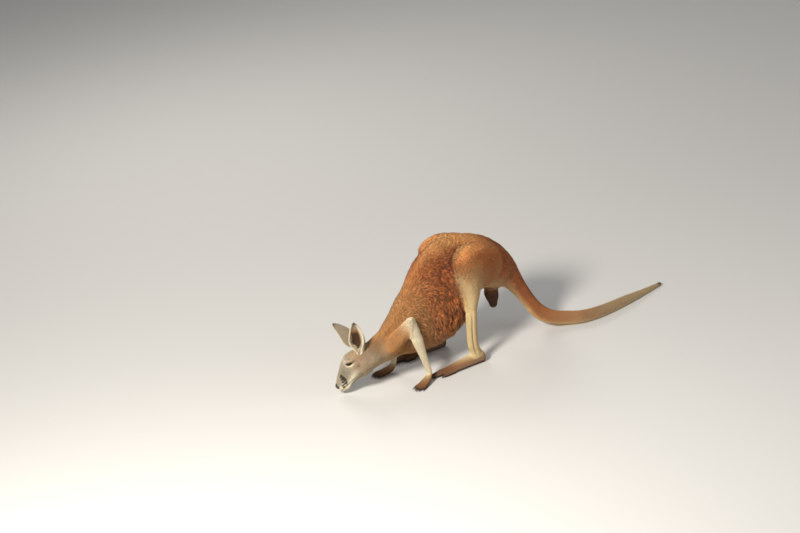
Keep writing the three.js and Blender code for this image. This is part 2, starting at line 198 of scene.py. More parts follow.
headLayout = {
    "muzzle": [-562, 98, 34], "pitch": 45, "yaw": 37, "depth": 2.2,
    # u back from the muzzle's tip, centre v, above, below, half, squareness
    "rows": [
        [-7, -4, 13, 13, 12, 2], [1, 0, 22, 25, 20, 2.2], [16, 3, 31, 33, 25, 2.3],
        [42, 8, 39, 40, 29, 2.3], [70, 12, 48, 47, 35, 2.2], [96, 13, 57, 57, 44, 2.15],
        [122, 12, 63, 67, 51, 2.1], [150, 7, 64, 70, 52, 2.05], [180, -1, 60, 62, 50, 2],
        [205, -10, 52, 54, 48, 2], [228, -18, 46, 50, 45, 2]],
}
earLayout = {
    # lengths from the tip's way back along the head; the leaf starts below its root, under the skin
    "root": [191.5, 46.5, 27], "width": 78, "wall": 4.4, "span": [-0.26, 0.995], "rings": 44, "arcPoints": 26,
    "reach": {"left": [85, 99, 10], "right": [-14, 130, -69]},
    "open": {"left": [-0.35, 0.1, 0.9], "right": [-0.8, 0.2, -0.6]},
}
hindLayout = {
    # x, y, z, front, back, half
    "thigh": [[176, -64, 396, 80, 100, 54], [112, -74, 406, 98, 116, 60],
              [50, -88, 412, 100, 112, 60], [2, -104, 408, 84, 88, 50]],
    "shank": [[4, -106, 404, 50, 62, 38], [10, -112, 358, 46, 74, 41], [13, -119, 305, 37, 58, 36],
              [7, -124, 240, 28, 34, 28], [-4, -128, 160, 26, 27, 23], [-10, -132, 90, 26, 27, 23],
              [0, -134, 44, 27, 30, 24]],
    "rightForward": 22, "rightTaller": 1.05,
}
foreLayout = {
    "shoulder": {"left": [-372, -46, 186], "right": [-336, 44, 190]},
    "elbow": {"left": [-306, -108, 296], "right": [-206, 101, 270]},
    "wrist": {"left": [-248, -120, 48], "right": [-270, 96, 48]},
    "upperArm": [[40, 46, 34], [42, 48, 36], [34, 42, 32], [28, 32, 27]],
    "forearm": [[26, 30, 26], [28, 33, 27], [21, 24, 20], [16, 18, 15], [15, 16, 15]],
}
footLayout = {
    # forward, outward, z, up, down, half
    "heel": [26, -134], "splay": {"left": -8, "right": 6},
    "base": [[0, 0, 28, 30, 30, 23], [28, 0, 25, 32, 27, 24], [67, 1, 21, 27, 23, 24],
             [116, 3, 18, 22, 20, 25], [160, 4, 15, 18, 17, 25], [188, 4, 13, 15, 15, 22]],
    "digits": [
        ([[168, 2, 14, 15, 16, 14], [208, 2, 13, 14, 15, 13], [241, 1, 11, 12, 13, 11]], 28, 8.5),
        ([[148, 20, 12, 12, 14, 10], [177, 25, 11, 11, 13, 9], [201, 27, 9, 9, 11, 8]], 20, 6),
        ([[155, -18, 12, 9, 12, 7], [181, -19, 10, 8, 11, 6], [201, -19, 9, 7, 10, 5.5]], 11, 3.4),
        ([[155, -25, 12, 9, 12, 6], [180, -27, 10, 8, 11, 5.5], [197, -28, 9, 7, 10, 5]], 11, 3.4)],
}
handLayout = {
    "splay": {"left": 16, "right": 16},
    "base": [[2, 0, 38, 12, 15, 13], [22, 0, 23, 13, 20, 17],
             [46, 0, 15, 12, 17, 22], [66, 0, 11, 10, 13, 22]],
    "digits": [([[50, out * 0.8, 11, 9, 12, 6.5], [68, out, 9, 8, 10, 6],
                 [reach, out * 1.15, 8, 7, 9, 5.5]], 19, 4)
               for out, reach in zip([-19, -9.5, 0, 9.5, 19], [74, 84, 90, 86, 76])],
}
scrotumRows = [[212, 0, 268, 24, 24, 22], [217, -1, 232, 33, 33, 28],
               [221, -2, 198, 29, 30, 25], [222, -2, 170, 19, 20, 17]]

upWay, aheadWay = np.array([0, 0, 1.0]), np.array([-1.0, 0, 0])


def ringPoints(part, sides, inset=0.0):
    # oval: centre + up * sign(c)|c|^(2/q) * (above or below) + side * sign(s)|s|^(2/q) * half
    angle = np.arange(sides) / sides * 2 * np.pi
    c, s = np.cos(angle), np.sin(angle)
    power = 2 / part["square"][:, None]
    above, below, half = (np.maximum(part[k] - inset, 0.2)[:, None] for k in ("above", "below", "half"))
    rise = np.sign(c) * np.abs(c) ** power * np.where(c > 0, above, below)
    spread = np.sign(s) * np.abs(s) ** power * half
    return (part["centre"][:, None] + rise[..., None] * part["up"][:, None]
            + spread[..., None] * part["side"][:, None])


def bodyPart(count):
    tipRows = tailAndTrunk["tipRows"]
    places = np.linspace(0, len(tailAndTrunk["rows"]) - 1, count)
    places = np.concatenate([np.linspace(0, tipRows, 7)[:-1], places[1:]])
    rows = rowsAt(tailAndTrunk["rows"], places)
    dome = np.sqrt(np.clip(1 - (1 - np.minimum(places, tipRows) / tipRows) ** 2, 0.01, 1))[:, None]
    rows[:, 5:8] = rows[:, 5:8] * dome
    tilt, yaw = np.radians(rows[:, 3]), np.radians(rows[:, 4])
    back = np.stack([np.cos(yaw), -np.sin(yaw), 0 * yaw], 1)
    up = back * np.sin(tilt)[:, None] + upWay * np.cos(tilt)[:, None]
    side = np.stack([-np.sin(yaw), -np.cos(yaw), 0 * yaw], 1)
    return {"centre": rows[:, :3] + middle, "up": up, "side": side, "above": rows[:, 5], "below": rows[:, 6],
            "half": rows[:, 7], "square": rows[:, 8], "place": places,
            "depth": np.interp(places, *tailAndTrunk["depth"])}


def limbPart(rows, ahead, count, depth=0.0, roundStart=0.0, roundEnd=0.0):
    # a curve of ovals; a round end is a dome of that length, which shrinks as the cosine of its angle
    rows = np.asarray(rows, float)
    last = len(rows) - 1
    places = np.linspace(0, last, count)
    shrink, along = np.ones(count), np.zeros(count)
    dome = np.linspace(0, 1, 9)[1:-1] * np.pi / 2
    if roundStart:
        places = np.concatenate([np.zeros(len(dome)), places])
        shrink = np.concatenate([np.cos(dome)[::-1], shrink])
        along = np.concatenate([-np.sin(dome)[::-1] * roundStart, along])
    if roundEnd:
        places = np.concatenate([places, np.full(len(dome), last)])
        shrink = np.concatenate([shrink, np.cos(dome)])
        along = np.concatenate([along, np.sin(dome) * roundEnd])
    at = rowsAt(rows, places)
    way = unit(rowsAt(rows[:, :3], np.clip(places + 0.05, 0, last))
               - rowsAt(rows[:, :3], np.clip(places - 0.05, 0, last)))
    side = unit(np.cross(way, ahead))
    up = unit(np.cross(side, way))
    return {"centre": at[:, :3] + middle + way * along[:, None], "up": up, "side": side,
            "above": at[:, 3] * shrink, "below": at[:, 4] * shrink, "half": at[:, 5] * shrink,
            "square": np.full(len(places), 2.0), "place": places / last, "depth": np.full(len(places), depth)}


pitch, yaw = math.radians(headLayout["pitch"]), math.radians(headLayout["yaw"])
headBack = np.array([math.cos(pitch) * math.cos(yaw), -math.cos(pitch) * math.sin(yaw), math.sin(pitch)])
headLeft = np.array([-math.sin(yaw), -math.cos(yaw), 0])
headUp = np.cross(headLeft, headBack)
headAxes = np.stack([headBack, headUp, headLeft])


def headPoint(u, v, w):
    # from the head's own frame (back, up, left) to the CAD frame, in millimetres
    local = np.stack(np.broadcast_arrays(u, v, w), -1).astype(float)
    return local @ headAxes + np.array(headLayout["muzzle"]) + middle


def headLocal(points):
    return (points - middle - np.array(headLayout["muzzle"])) @ headAxes.T


def headPart(count):
    places = np.linspace(0, len(headLayout["rows"]) - 1, count)
    rows = rowsAt(headLayout["rows"], places)
    ones = np.ones((count, 1))
    return {"centre": headPoint(rows[:, 0], rows[:, 1], 0), "up": ones * headUp, "side": ones * headLeft,
            "above": rows[:, 2], "below": rows[:, 3], "half": rows[:, 4], "square": rows[:, 5],
            "place": places, "depth": np.full(count, headLayout["depth"])}


def placedRows(rows, corner, splay, side):
    # [forward, outward, ...] on a paw becomes [x, y, ...], mirrored for the right side
    rows = np.asarray(rows, float).copy()
    angle = math.radians(splay)
    ahead, out = rows[:, 0].copy(), rows[:, 1].copy()
    rows[:, 0] = corner[0] - ahead * math.cos(angle) + out * math.sin(angle)
    rows[:, 1] = -abs(corner[1]) - ahead * math.sin(angle) - out * math.cos(angle)
    if side == "right":
        rows[:, 1] *= -1
    return rows


def rightHind(rows, side):
    rows = np.asarray(rows, float).copy()
    if side == "right":
        rows[:, 0] -= hindLayout["rightForward"] * rows[:, 2] / 400
        rows[:, 1] *= -1
        rows[:, 2] *= hindLayout["rightTaller"]
    return rows


def betweenRows(start, end, reaches):
    t = np.linspace(0, 1, len(reaches))[:, None]
    return np.hstack([np.array(start) * (1 - t) + np.array(end) * t, np.array(reaches)])


def clawRows(rows, length, thick):
    # out of a digit's end, tapering and bending down to the floor
    way = unit(np.append(rows[-1, :2] - rows[-2, :2], 0))
    tipZ = thick * 0.35 + 0.5
    x, y, z = rows[-1, :3]
    steps = np.array([-0.25, 0, 0.2, 0.4, 0.6, 0.78, 0.92, 1.0])
    heights = z + thick * 0.2 + (tipZ - z - thick * 0.2) * np.clip(steps, 0, 1) ** 1.5
    reach = thick * np.array([0.9, 0.92, 0.9, 0.78, 0.6, 0.42, 0.25, 0.1])
    return np.stack([x + way[0] * steps * length, y + way[1] * steps * length, heights,
                     reach, reach * 0.8, reach * 0.75], 1)


parts = {"body": bodyPart(220), "head": headPart(80),
         "scrotum": limbPart(scrotumRows, aheadWay, 24, 1.0, 0, 22)}
# how far each part sinks in the fine joining, in millimetres, so that the softened coarse shape shows there
parts["body"]["sunk"] = 9 * ramp(parts["body"]["place"], 6.5, 9)
parts["head"]["sunk"] = 9 * ramp(parts["head"]["place"], 6.0, 9)
parts["scrotum"]["sunk"] = 5 * (1 - ramp(parts["scrotum"]["place"], 0.2, 0.5))
claws = {}
for side in bothSides:
    parts[f"thigh_{side}"] = limbPart(rightHind(hindLayout["thigh"], side), upWay, 30, 4.5, 60, 34)
    parts[f"shank_{side}"] = limbPart(rightHind(hindLayout["shank"], side), aheadWay, 48, 3, 0, 14)
    shoulder, elbow, wrist = (foreLayout[k][side] for k in ("shoulder", "elbow", "wrist"))
    upperArm = betweenRows(shoulder, elbow, foreLayout["upperArm"])
    parts[f"upperArm_{side}"] = limbPart(upperArm, aheadWay, 24, 5, 26, 22)
    forearm = betweenRows(elbow, wrist, foreLayout["forearm"])
    parts[f"forearm_{side}"] = limbPart(forearm, aheadWay, 34, 2.5, 22, 8)
    for name, start, end in ((f"shank_{side}", 0.4, 0.6), (f"forearm_{side}", 0.15, 0.45)):
        parts[name]["sunk"] = 8 * (1 - ramp(parts[name]["place"], start, end))
    for paw, layout, corner in (("foot", footLayout, footLayout["heel"]), ("hand", handLayout, wrist[:2])):
        base = placedRows(layout["base"], corner, layout["splay"][side], side)
        parts[f"{paw}_{side}"] = limbPart(base, upWay, 30, 1.2, 14, 12)
        for number, (rows, length, thick) in enumerate(layout["digits"], 1):
            placed = placedRows(rows, corner, layout["splay"][side], side)
            parts[f"{paw}Digit_{side}_{number}"] = limbPart(placed, upWay, 14, 0.8, 0, rows[-1][3] * 0.8)
            claws[f"{paw}_claw_{side}_{number}"] = clawRows(placed, length, thick)


skinSettings = {
    "coarseVoxel": 0.005, "fillet": 60,  # relaxing of the first, coarse joining: softens every crease
    "fineVoxel": 0.0021, "finish": 3, "triangles": 176000,
    "sides": 72, "digitSides": 28,
}


def shellOf(name, sides, fine=False):
    # in the fine joining a part sinks where the softened coarse shape should show instead
    part = parts[name]
    return tube(ringPoints(part, sides, part["depth"] + (part.get("sunk", 0) if fine else 0)))


def earShell(side):
    # a cupped leaf with a wall; a ring is its outer arc, then its inner one:
    # centre + across * r sin(a) - face * r cos(a)
    u, v, w = earLayout["root"]
    root = headPoint(u, v, w if side == "left" else -w)
    axis = np.array(earLayout["reach"][side], float) @ headAxes
    reach = np.linalg.norm(axis)
    axis = axis / reach
    across = unit(np.cross(axis, np.array(earLayout["open"][side]) @ headAxes))
    face = unit(np.cross(across, axis))
    t = np.linspace(*earLayout["span"], earLayout["rings"])
    swell = 0.47 + 0.53 * np.sin(np.clip(t / 0.5, 0, 1) * np.pi / 2)
    leaf = swell * np.maximum(0.012, 1 - np.abs(t) ** 2.5) ** 0.7
    leaf = leaf * (1 + 1.5 * np.minimum(t, 0))
    halfArc = 2.5 - 1.25 * ramp(t, -0.1, 0.72) + 0.4 * ramp(-t, -0.05, 0.15)
    radius = earLayout["width"] / 2 * leaf / np.sin(np.minimum(halfArc, np.pi / 2))
    centre = root + axis * (reach * t)[:, None] + face * (10 * np.sin(np.pi * np.clip(t, 0, 1)) - 4)[:, None]
    thick = earLayout["wall"] * (1 - 0.4 * np.clip(t, 0, 1))
    sweep = np.linspace(-1, 1, earLayout["arcPoints"])
    rings = []
    for r, order in ((radius, sweep), (radius - thick, sweep[::-1])):
        angle = halfArc[:, None] * order
        rings.append(centre[:, None] + across * (r[:, None] * np.sin(angle))[..., None]
                     - face * (r[:, None] * np.cos(angle))[..., None])
    return np.concatenate(rings, 1), {"axis": axis, "across": across, "face": face, "t": t}


def remeshed(name, shells, voxel):
    points, faces = joinShells(shells)
    made = addObject(name, makeMesh(name, points * mm, faces))
    modifier = made.modifiers.new("remesh", "REMESH")
    modifier.mode = "VOXEL"
    modifier.voxel_size = voxel
    mesh = bpy.data.meshes.new_from_object(made.evaluated_get(bpy.context.evaluated_depsgraph_get()))
    bpy.data.objects.remove(made)
    return mesh


def relaxed(points, edges, times, share=0.5):
    # each point moves part of the way to the mean of its neighbours
    size = len(points)
    a, b = edges.T
    count = np.maximum(np.bincount(edges.ravel(), minlength=size), 1)[:, None]
    for _ in range(times):
        total = np.stack([np.bincount(a, points[b, k], size) + np.bincount(b, points[a, k], size)
                          for k in range(3)], 1)
        points = points + (total / count - points) * share
    return points


def softened(points, edges, spots):
    # extra relaxing inside chosen balls: [centre, radius, times]
    for centre, radius, times in spots:
        weight = 1 - ramp(np.linalg.norm(points - centre, axis=1), 0.55 * radius, radius)
        inside = np.flatnonzero(weight > 0)
        place = np.full(len(points), -1)
        place[inside] = np.arange(len(inside))
        near = place[edges]
        near = near[(near >= 0).all(1)]
        points = points.copy()
        points[inside] = relaxed(points[inside], near, times, 0.5 * weight[inside, None])
    return points


def quadsOf(mesh):
    corners = np.empty(len(mesh.loops), np.int32)
    mesh.loops.foreach_get("vertex_index", corners)
    return corners.reshape(len(mesh.polygons), -1)


eyeSettings = {"place": [123, 43.5, 31], "radius": 14, "slant": 30, "open": [13.2, 4.2, 4.8],
               "border": [24, 18], "swell": 0.035, "swellReach": 0.6, "rings": 40, "around": 64}


def eyeAxes(side):
    # long, short and outward axes of the eye, and its centre
    s = 1 if side == "left" else -1
    outward = unit(-0.28 * headBack + 0.35 * headUp + s * headLeft)
    slant = math.radians(eyeSettings["slant"])
    along = math.cos(slant) * headBack - math.sin(slant) * headUp
    along = unit(along - outward * (along @ outward))
    short = np.cross(outward, along) * s
    u, v, w = eyeSettings["place"]
    return along, short, outward, headPoint(u, v, s * w)


headForms = {
    # push in millimetres; peak and reach along u, then along v; where it comes in beside the midline
    "chin": (5.0, 32, 20, -28, 12, None), "whiskerPad": (1.8, 20, 14, 2, 12, (8, 18)),
    "hollowBeforeEye": (-2.6, 66, 24, 30, 13, (8, 20)), "brow": (3.2, 116, 18, 63, 8, (10, 20)),
    "cheekbone": (2.6, 134, 24, 20, 8, (20, 34)), "jawMuscle": (3.6, 152, 26, -20, 22, (20, 34)),
    "underJaw": (-2.2, 112, 22, -30, 12, (10, 24)), "temple": (-1.6, 150, 20, 48, 10, (22, 34)),
    "behindNostril": (-1.2, 12, 6, 16, 12, (10, 18)),
}
pitSettings = {"reach": (19.5, 14), "depth": 7.0, "earMound": 9.0, "earReach": 21}


def headSpot(form, u, v, aside):
    # a bell along u times a bell along v, coming in beside the midline
    uPeak, uReach, vPeak, vReach, beside = form
    spot = bump(u, uPeak, uReach) * bump(v, vPeak, vReach)
    return spot if beside is None else spot * ramp(aside, *beside)


def sculptHead(points, normals):
    # lips and the forms above pushed along the normal, then eye pits, and mounds where the ears rise
    u, v, w = headLocal(points).T
    here = (u > -20) & (u < 235) & (np.abs(v) < 95) & (np.abs(w) < 75)
    u, v, side = u[here], v[here], np.abs(w[here])
    mouth = -11 - 0.07 * u + 0.0012 * np.maximum(u - 40, 0) ** 2
    lipLine = ramp(u, -9, -2) * (1 - ramp(u, 66, 82))
    push = -2.3 * bump(v, mouth, 1.7) * lipLine
    push += 1.5 * bump(v, mouth + 9, 6) * lipLine + 0.8 * bump(v, mouth - 6, 4) * lipLine
    for depth, *form in headForms.values():
        push += depth * headSpot(form, u, v, side)
    moved = points[here] + normals[here] * push[:, None]
    for name in bothSides:
        along, short, outward, centre = eyeAxes(name)
        offset = moved - centre
        a, b, c = offset @ along, offset @ short, offset @ outward
        pitA, pitB = pitSettings["reach"]
        pit = (1 - ramp(np.hypot(a / pitA, b / pitB), 0.62, 1.0)) * (c > 0)
        moved = moved - outward * (pitSettings["depth"] * pit)[:, None]
        u0, v0, w0 = earLayout["root"]
        root = headPoint(u0, v0, w0 if name == "left" else -w0)
        axis = unit(np.array(earLayout["reach"][name], float) @ headAxes)
        mound = bump(np.linalg.norm(moved - root, axis=1), 0, pitSettings["earReach"])
        moved = moved + axis * (pitSettings["earMound"] * mound)[:, None]
    points = points.copy()
    points[here] = moved
    return points


def limbFrames(points, part):
    # nearest ring of a part: its number, and how far up and to the side of its centre the point is
    centre = part["centre"]
    nearest = np.argmin(-2 * points @ centre.T + (centre**2).sum(1), axis=1)
    offset = points - centre[nearest]
    rise = np.einsum("ij,ij->i", offset, part["up"][nearest])
    spread = np.einsum("ij,ij->i", offset, part["side"][nearest])
    return nearest, rise, spread


def closeness(points, part):
    # how far out a place is in a part, 1 at its surface; with the nearest ring,
    # and rise and spread as shares of that ring's size
    nearest, rise, spread = limbFrames(points, part)
    offset = points - part["centre"][nearest]
    beyond = np.sqrt(np.maximum((offset**2).sum(1) - rise**2 - spread**2, 0))
    reach = np.maximum(np.where(rise > 0, part["above"][nearest], part["below"][nearest]), 4)
    half = np.maximum(part["half"][nearest], 4)
    close = np.sqrt((rise / reach) ** 2 + (spread / half) ** 2 + (beyond / half) ** 2)
    return close, nearest, rise / reach, spread / half


def thighEdge(points):
    # how much deeper a place is in the thigh than in the trunk, 0 where they meet,
    # and where the front edge shows
    trunk = closeness(points, parts["body"])[0]
    edge, front = np.full(len(points), -9.0), np.zeros(len(points))
    for side in bothSides:
        close = closeness(points, parts[f"thigh_{side}"])[0]
        edge = np.maximum(edge, trunk - close)
        front = np.maximum(front, (close < 1.6) * ramp(points[:, 2], 375, 435))
    return edge, front * (1 - ramp(points[:, 0] - middle[0], 30, 110))


bodyForms = {
    # pushes in millimetres
    "shinGroove": -6.0, "calf": 2.0, "spine": 2.5, "besideSpine": -2.5, "ribsEnd": -4.0,
    "haunchEdge": 5.0, "haunchFold": -8.5, "slow": 1.3, "fine": 0.5,
}


def sculptBody(points, normals):
    # muscle and bone under the coat: groove between shin and heel tendon, calf, spine, ribs' end, haunch line
    push = np.zeros(len(points))
    for side in bothSides:
        part = parts[f"shank_{side}"]
        nearest, rise, spread = limbFrames(points, part)
        place = part["place"][nearest]
        inside = 1 - ramp(np.hypot(rise / 90, spread / 60), 0.9, 1.0)
        lower = ramp(place, 0.45, 0.62) * (1 - ramp(place, 0.92, 1)) * inside
        push += bodyForms["shinGroove"] * lower * bump(rise, 9, 5)
        push += bodyForms["calf"] * (bump(place, 0.3, 0.12) * inside) * bump(rise, -30, 18)
    body = parts["body"]
    nearest, rise, spread = limbFrames(points, body)
    place = body["place"][nearest]
    top = np.clip(rise / body["above"][nearest], -1, 1)
    past = np.abs(spread) - body["half"][nearest]
    trunk = ramp(place, 11, 12.5) * (1 - ramp(place, 20.5, 22)) * (1 - ramp(past, -2, 8))
    push += bodyForms["spine"] * trunk * bump(spread, 0, 14) * ramp(top, 0.6, 0.95)
    push += bodyForms["besideSpine"] * trunk * bump(np.abs(spread), 34, 14) * ramp(top, 0.6, 0.9)
    side = ramp(top, -0.35, 0.1) * (1 - ramp(top, 0.45, 0.9))
    push += bodyForms["ribsEnd"] * bump(place, 17.6, 0.55) * side * trunk
    edge, front = thighEdge(points)
    push += front * bodyForms["haunchEdge"] * bump(edge, 0.15, 0.12)
    push += front * bodyForms["haunchFold"] * bump(edge, 0.0, 0.075)
    slow = cellNoise(points, 46.0, 3) * bodyForms["slow"] + cellNoise(points, 22.0, 4) * bodyForms["fine"]
    push += slow * ramp(place, 5, 12) * trunk
    return points + normals * push[:, None]


def buildSkin():
    limbs = ("thigh", "shank", "upperArm", "forearm", "foot", "hand")
    big = ["body", "head", "scrotum"] + [f"{limb}_{side}" for limb in limbs for side in bothSides]
    sides = skinSettings["sides"]
    coarse = remeshed("coarse", [shellOf(name, sides) for name in big], skinSettings["coarseVoxel"])
    softPoints = relaxed(readPoints(coarse) / mm, readEdges(coarse), skinSettings["fillet"])
    softFaces = quadsOf(coarse)
    softFaces = np.concatenate([softFaces[:, [0, 1, 2]], softFaces[:, [0, 2, 3]]])
    print("coarse skin", len(softPoints))
    crisp = [name for name in big if "thigh" not in name and "upperArm" not in name]
    shells = [(softPoints, softFaces)] + [shellOf(name, sides, True) for name in crisp]
    shells += [shellOf(name, skinSettings["digitSides"]) for name in parts if "Digit" in name]
    fine = remeshed("fine", shells, skinSettings["fineVoxel"])
    edges = readEdges(fine)
    points = relaxed(readPoints(fine) / mm, edges, skinSettings["finish"])
    spots = [(headPoint(226, -14, 0), 84, 90), (headPoint(188, 0, 0), 66, 30)]
    for side in bothSides:
        wrist = np.array(foreLayout["wrist"][side], float)
        sign = 1 if side == "left" else -1
        heel = np.array([footLayout["heel"][0] - 22, footLayout["heel"][1] * sign, 58.0])
        spots += [(wrist + middle + [0, 0, 2], 34, 60), (heel + middle, 50, 50)]
    points = softened(points, edges, spots)
    print("fine skin", len(points))
    fine.vertices.foreach_set("co", (points * mm).astype(np.float32).ravel())
    fine.update()
    normals = readNormals(fine)
    points = sculptBody(sculptHead(points, normals), normals)
    points[:, 2] = np.maximum(points[:, 2], 0.3)
    fine.vertices.foreach_set("co", (points * mm).astype(np.float32).ravel())
    fine.update()
    made = addObject("skin", fine)
    u, v, w = headLocal(points).T
    face = (1 - ramp(u, 200, 260)) * (np.abs(v) < 190) * (np.abs(w) < 190)
    paws = 1 - ramp(points[:, 2], 30, 60)
    keep = np.clip(np.maximum(face, 0.5 * paws * (points[:, 0] < 0)), 0, 1)
    group = made.vertex_groups.new(name="thin")
    levels = np.round((1 - 0.8 * keep) * 10).astype(int)
    for level in np.unique(levels):
        group.add(np.flatnonzero(levels == level).tolist(), level / 10, "REPLACE")
    modifier = made.modifiers.new("thin", "DECIMATE")
    modifier.ratio = skinSettings["triangles"] / (2 * len(fine.polygons))
    modifier.vertex_group = "thin"
    mesh = bpy.data.meshes.new_from_object(made.evaluated_get(bpy.context.evaluated_depsgraph_get()))
    made.modifiers.clear()
    made.vertex_groups.clear()
    made.data = mesh
    bpy.data.meshes.remove(fine)
    mesh.calc_loop_triangles()
    faces = np.empty(len(mesh.loop_triangles) * 3, np.int32)
    mesh.loop_triangles.foreach_get("vertices", faces)
    shells = [(readPoints(mesh) / mm, faces.reshape(-1, 3))]
    shells += [tube(earShell(side)[0]) for side in bothSides]
    points, faces = joinShells(shells)
    made.data = makeMesh("skin", points * mm, faces)
    bpy.data.meshes.remove(mesh)
    print("skin", len(points), len(faces))
    return made, points, faces, len(shells[0][0])


skin, skinPoints, skinFaces, earStart = buildSkin()


coatKinds = {
    # length and width in millimetres, lift in degrees, layers of cover
    "back": (24, 2.7, 13, 3.4), "flank": (34, 2.9, 16, 3.8), "belly": (40, 3.1, 18, 3.6),
    "shoulder": (19, 2.5, 14, 3.2), "neck": (16, 2.2, 14, 3.0), "thigh": (19, 2.6, 13, 3.1),
    "tail": (13, 2.1, 10, 2.6), "shank": (9, 1.7, 8, 1.9), "foot": (7, 1.5, 9, 1.5),
    "upperArm": (15, 2.2, 14, 3.0), "forearm": (8.5, 1.6, 9, 1.9), "hand": (5.5, 1.2, 10, 1.3),
    "head": (7.5, 1.35, 11, 1.9), "muzzle": (3.2, 0.8, 10, 1.1), "ear": (5.0, 1.1, 9, 1.3),
    "scrotum": (7, 1.5, 10, 1.8),
}
limbKinds = ["head", "thigh", "shank", "upperArm", "forearm", "foot", "hand", "scrotum"]
lieSettings = {
    "blend": 0.22,  # how far parts' ways of lying mix where they meet
    "thigh": (0.35, 0, -1.0), "hang": (0.3, 2.7), "outward": 1.3, "swirl": 0.08, "swirlSize": 34.0,
}


def describeSkin(points, normals):
    # shares of each kind of part, the way the coat lies, and each point's place along, up and round its part
    names = list(parts)
    size = len(points)
    close = np.empty((len(names), size))
    lies = np.empty((len(names), size, 3))
    places, tops, turns = (np.empty((len(names), size)) for _ in range(3))
    for number, name in enumerate(names):
        part = parts[name]
        close[number], nearest, rise, spread = closeness(points, part)
        way = np.gradient(part["centre"], axis=0)
        lies[number] = unit(-way if name == "body" else way)[nearest]
        if name == "body":
            outWay = part["side"][nearest] * np.clip(spread, -1, 1)[:, None]
        if name.startswith("thigh"):
            lies[number] = unit(np.array(lieSettings["thigh"]))
        places[number] = part["place"][nearest]
        tops[number] = np.clip(rise, -1, 1)
        turns[number] = np.arctan2(spread, rise)
    best = close.argmin(0)
    share = np.exp(-(((close - close.min(0)) / lieSettings["blend"]) ** 2))
    share /= share.sum(0)
    shares = {k: sum(share[i] for i, name in enumerate(names) if name.startswith(k))
              for k in ["body"] + limbKinds}
    pick = np.arange(size)
    lengths = np.array([parts[name]["place"].max() for name in names])
    about = {"share": shares, "place": places[0], "top": tops[0], "names": names, "normals": normals,
             "best": best, "bestPlace": places[best, pick] / lengths[best], "bestTurn": turns[best, pick],
             "bestTop": tops[best, pick], "head": headLocal(points).T}
    # on the trunk the coat sweeps back and then hangs down the flanks
    place, top = about["place"], about["top"]
    trunk = shares["body"] * ramp(place, 11.5, 13.5) * (1 - ramp(place, 20.5, 22.5))
    least, more = lieSettings["hang"]
    hang = trunk * (least + more * ramp(0.75 - top, 0, 0.8))
    lie = np.einsum("ps,psk->sk", share, lies)
    lie = lie + (lieSettings["outward"] * outWay - upWay) * hang[:, None]
    swirl = cellNoise(points, lieSettings["swirlSize"], 21)[:, None] * np.cross(normals, lie)
    lie = lie + swirl * (lieSettings["swirl"] + lieSettings["swirl"] * trunk[:, None])
    lie -= normals * (lie * normals).sum(1, keepdims=True)
    about["lie"], about["trunk"] = unit(lie), trunk
    return about


def kindWeights(about):
    # how much of each kind of coat a place has
    s, place, top = about["share"], about["place"], about["top"]
    body = s["body"]
    shoulder, neck, tail = ramp(place, 18.2, 20.2), ramp(place, 20.6, 22.4), 1 - ramp(place, 8.5, 11.5)
    low, aside = ramp(-top, 0.15, 0.75), ramp(0.8 - top, 0, 0.6)
    trunk = body * (1 - tail) * (1 - shoulder)
    muzzle = 1 - ramp(about["head"][0], 30, 85)
    weights = {k: s[k] for k in limbKinds}
    weights.update(
        back=trunk * (1 - aside), flank=trunk * aside * (1 - low), belly=trunk * low,
        shoulder=body * shoulder * (1 - neck), neck=body * neck, tail=body * tail, ear=about["ear"],
        head=s["head"] * (1 - muzzle), muzzle=s["head"] * muzzle)
    return np.stack([weights[k] for k in coatKinds], 1)


bodyRows = {
    # where along the body's rows, from the tail's tip at 0 to the neck at 23, a stretch comes in or goes
    "tailTip": (0.05, 0.35), "paleTip": (1.5, 4.5), "greyTail": (2, 7), "tail": (4.0, 10.5),
    "tailUnder": (9, 13), "litTop": (12.6, 13.8), "fore": (17.1, 19.0), "throat": (20.4, 21.8),
    "nape": (21.6, 23.4),
}
headSpots = {
    # peak and reach along u, then along v; where it comes in beside the midline
    "browPatch": (156, 22, 55, 13, (8, 20)), "overEye": (134, 20, 60, 10, None),
    "paleBrow": (112, 13, 63, 9, None), "snout": (68, 22, 32, 16, (8, 18)),
    "cheek": (165, 32, 5, 40, None), "cheekSpot": (135, 4.5, 13, 6, (30, 40)),
    "earFoot": (186, 15, 52, 13, (8, 18)), "earSlit": (194, 6, 48, 9, None),
    "lipRows": (32, 16, 4, 12, (8, 15)),
}
headShares = {
    "sandy": {"all": 0.9}, "grey": {"grey": 1.0}, "cream": {"lips": 0.35, "chin": 0.4},
    "white": {"stripe": 0.95, "lips": 0.7, "chin": 0.2, "jaw": 0.1, "lowerLid": 0.7, "lipRows": 0.8,
              "paleBrow": 0.45, "earFoot": 0.95, "tan": 0.36, "earSlit": -0.85},
    # the dark share on the lower jaw is painted shade
    "dark": {"whiskerPad": 1.5, "earSlit": 0.85, "cheek": 0.2, "jaw": 0.14, "snout": 0.3, "mouthEdge": 0.25,
             "lidEdge": 0.45, "eyeCorners": 1.0, "cheekSpot": 0.75, "neckward": 0.2},
}
headMost = {"sandy": 1.0, "grey": 1.0, "cream": 1.0, "white": 0.95, "dark": 0.9}  # largest share of each


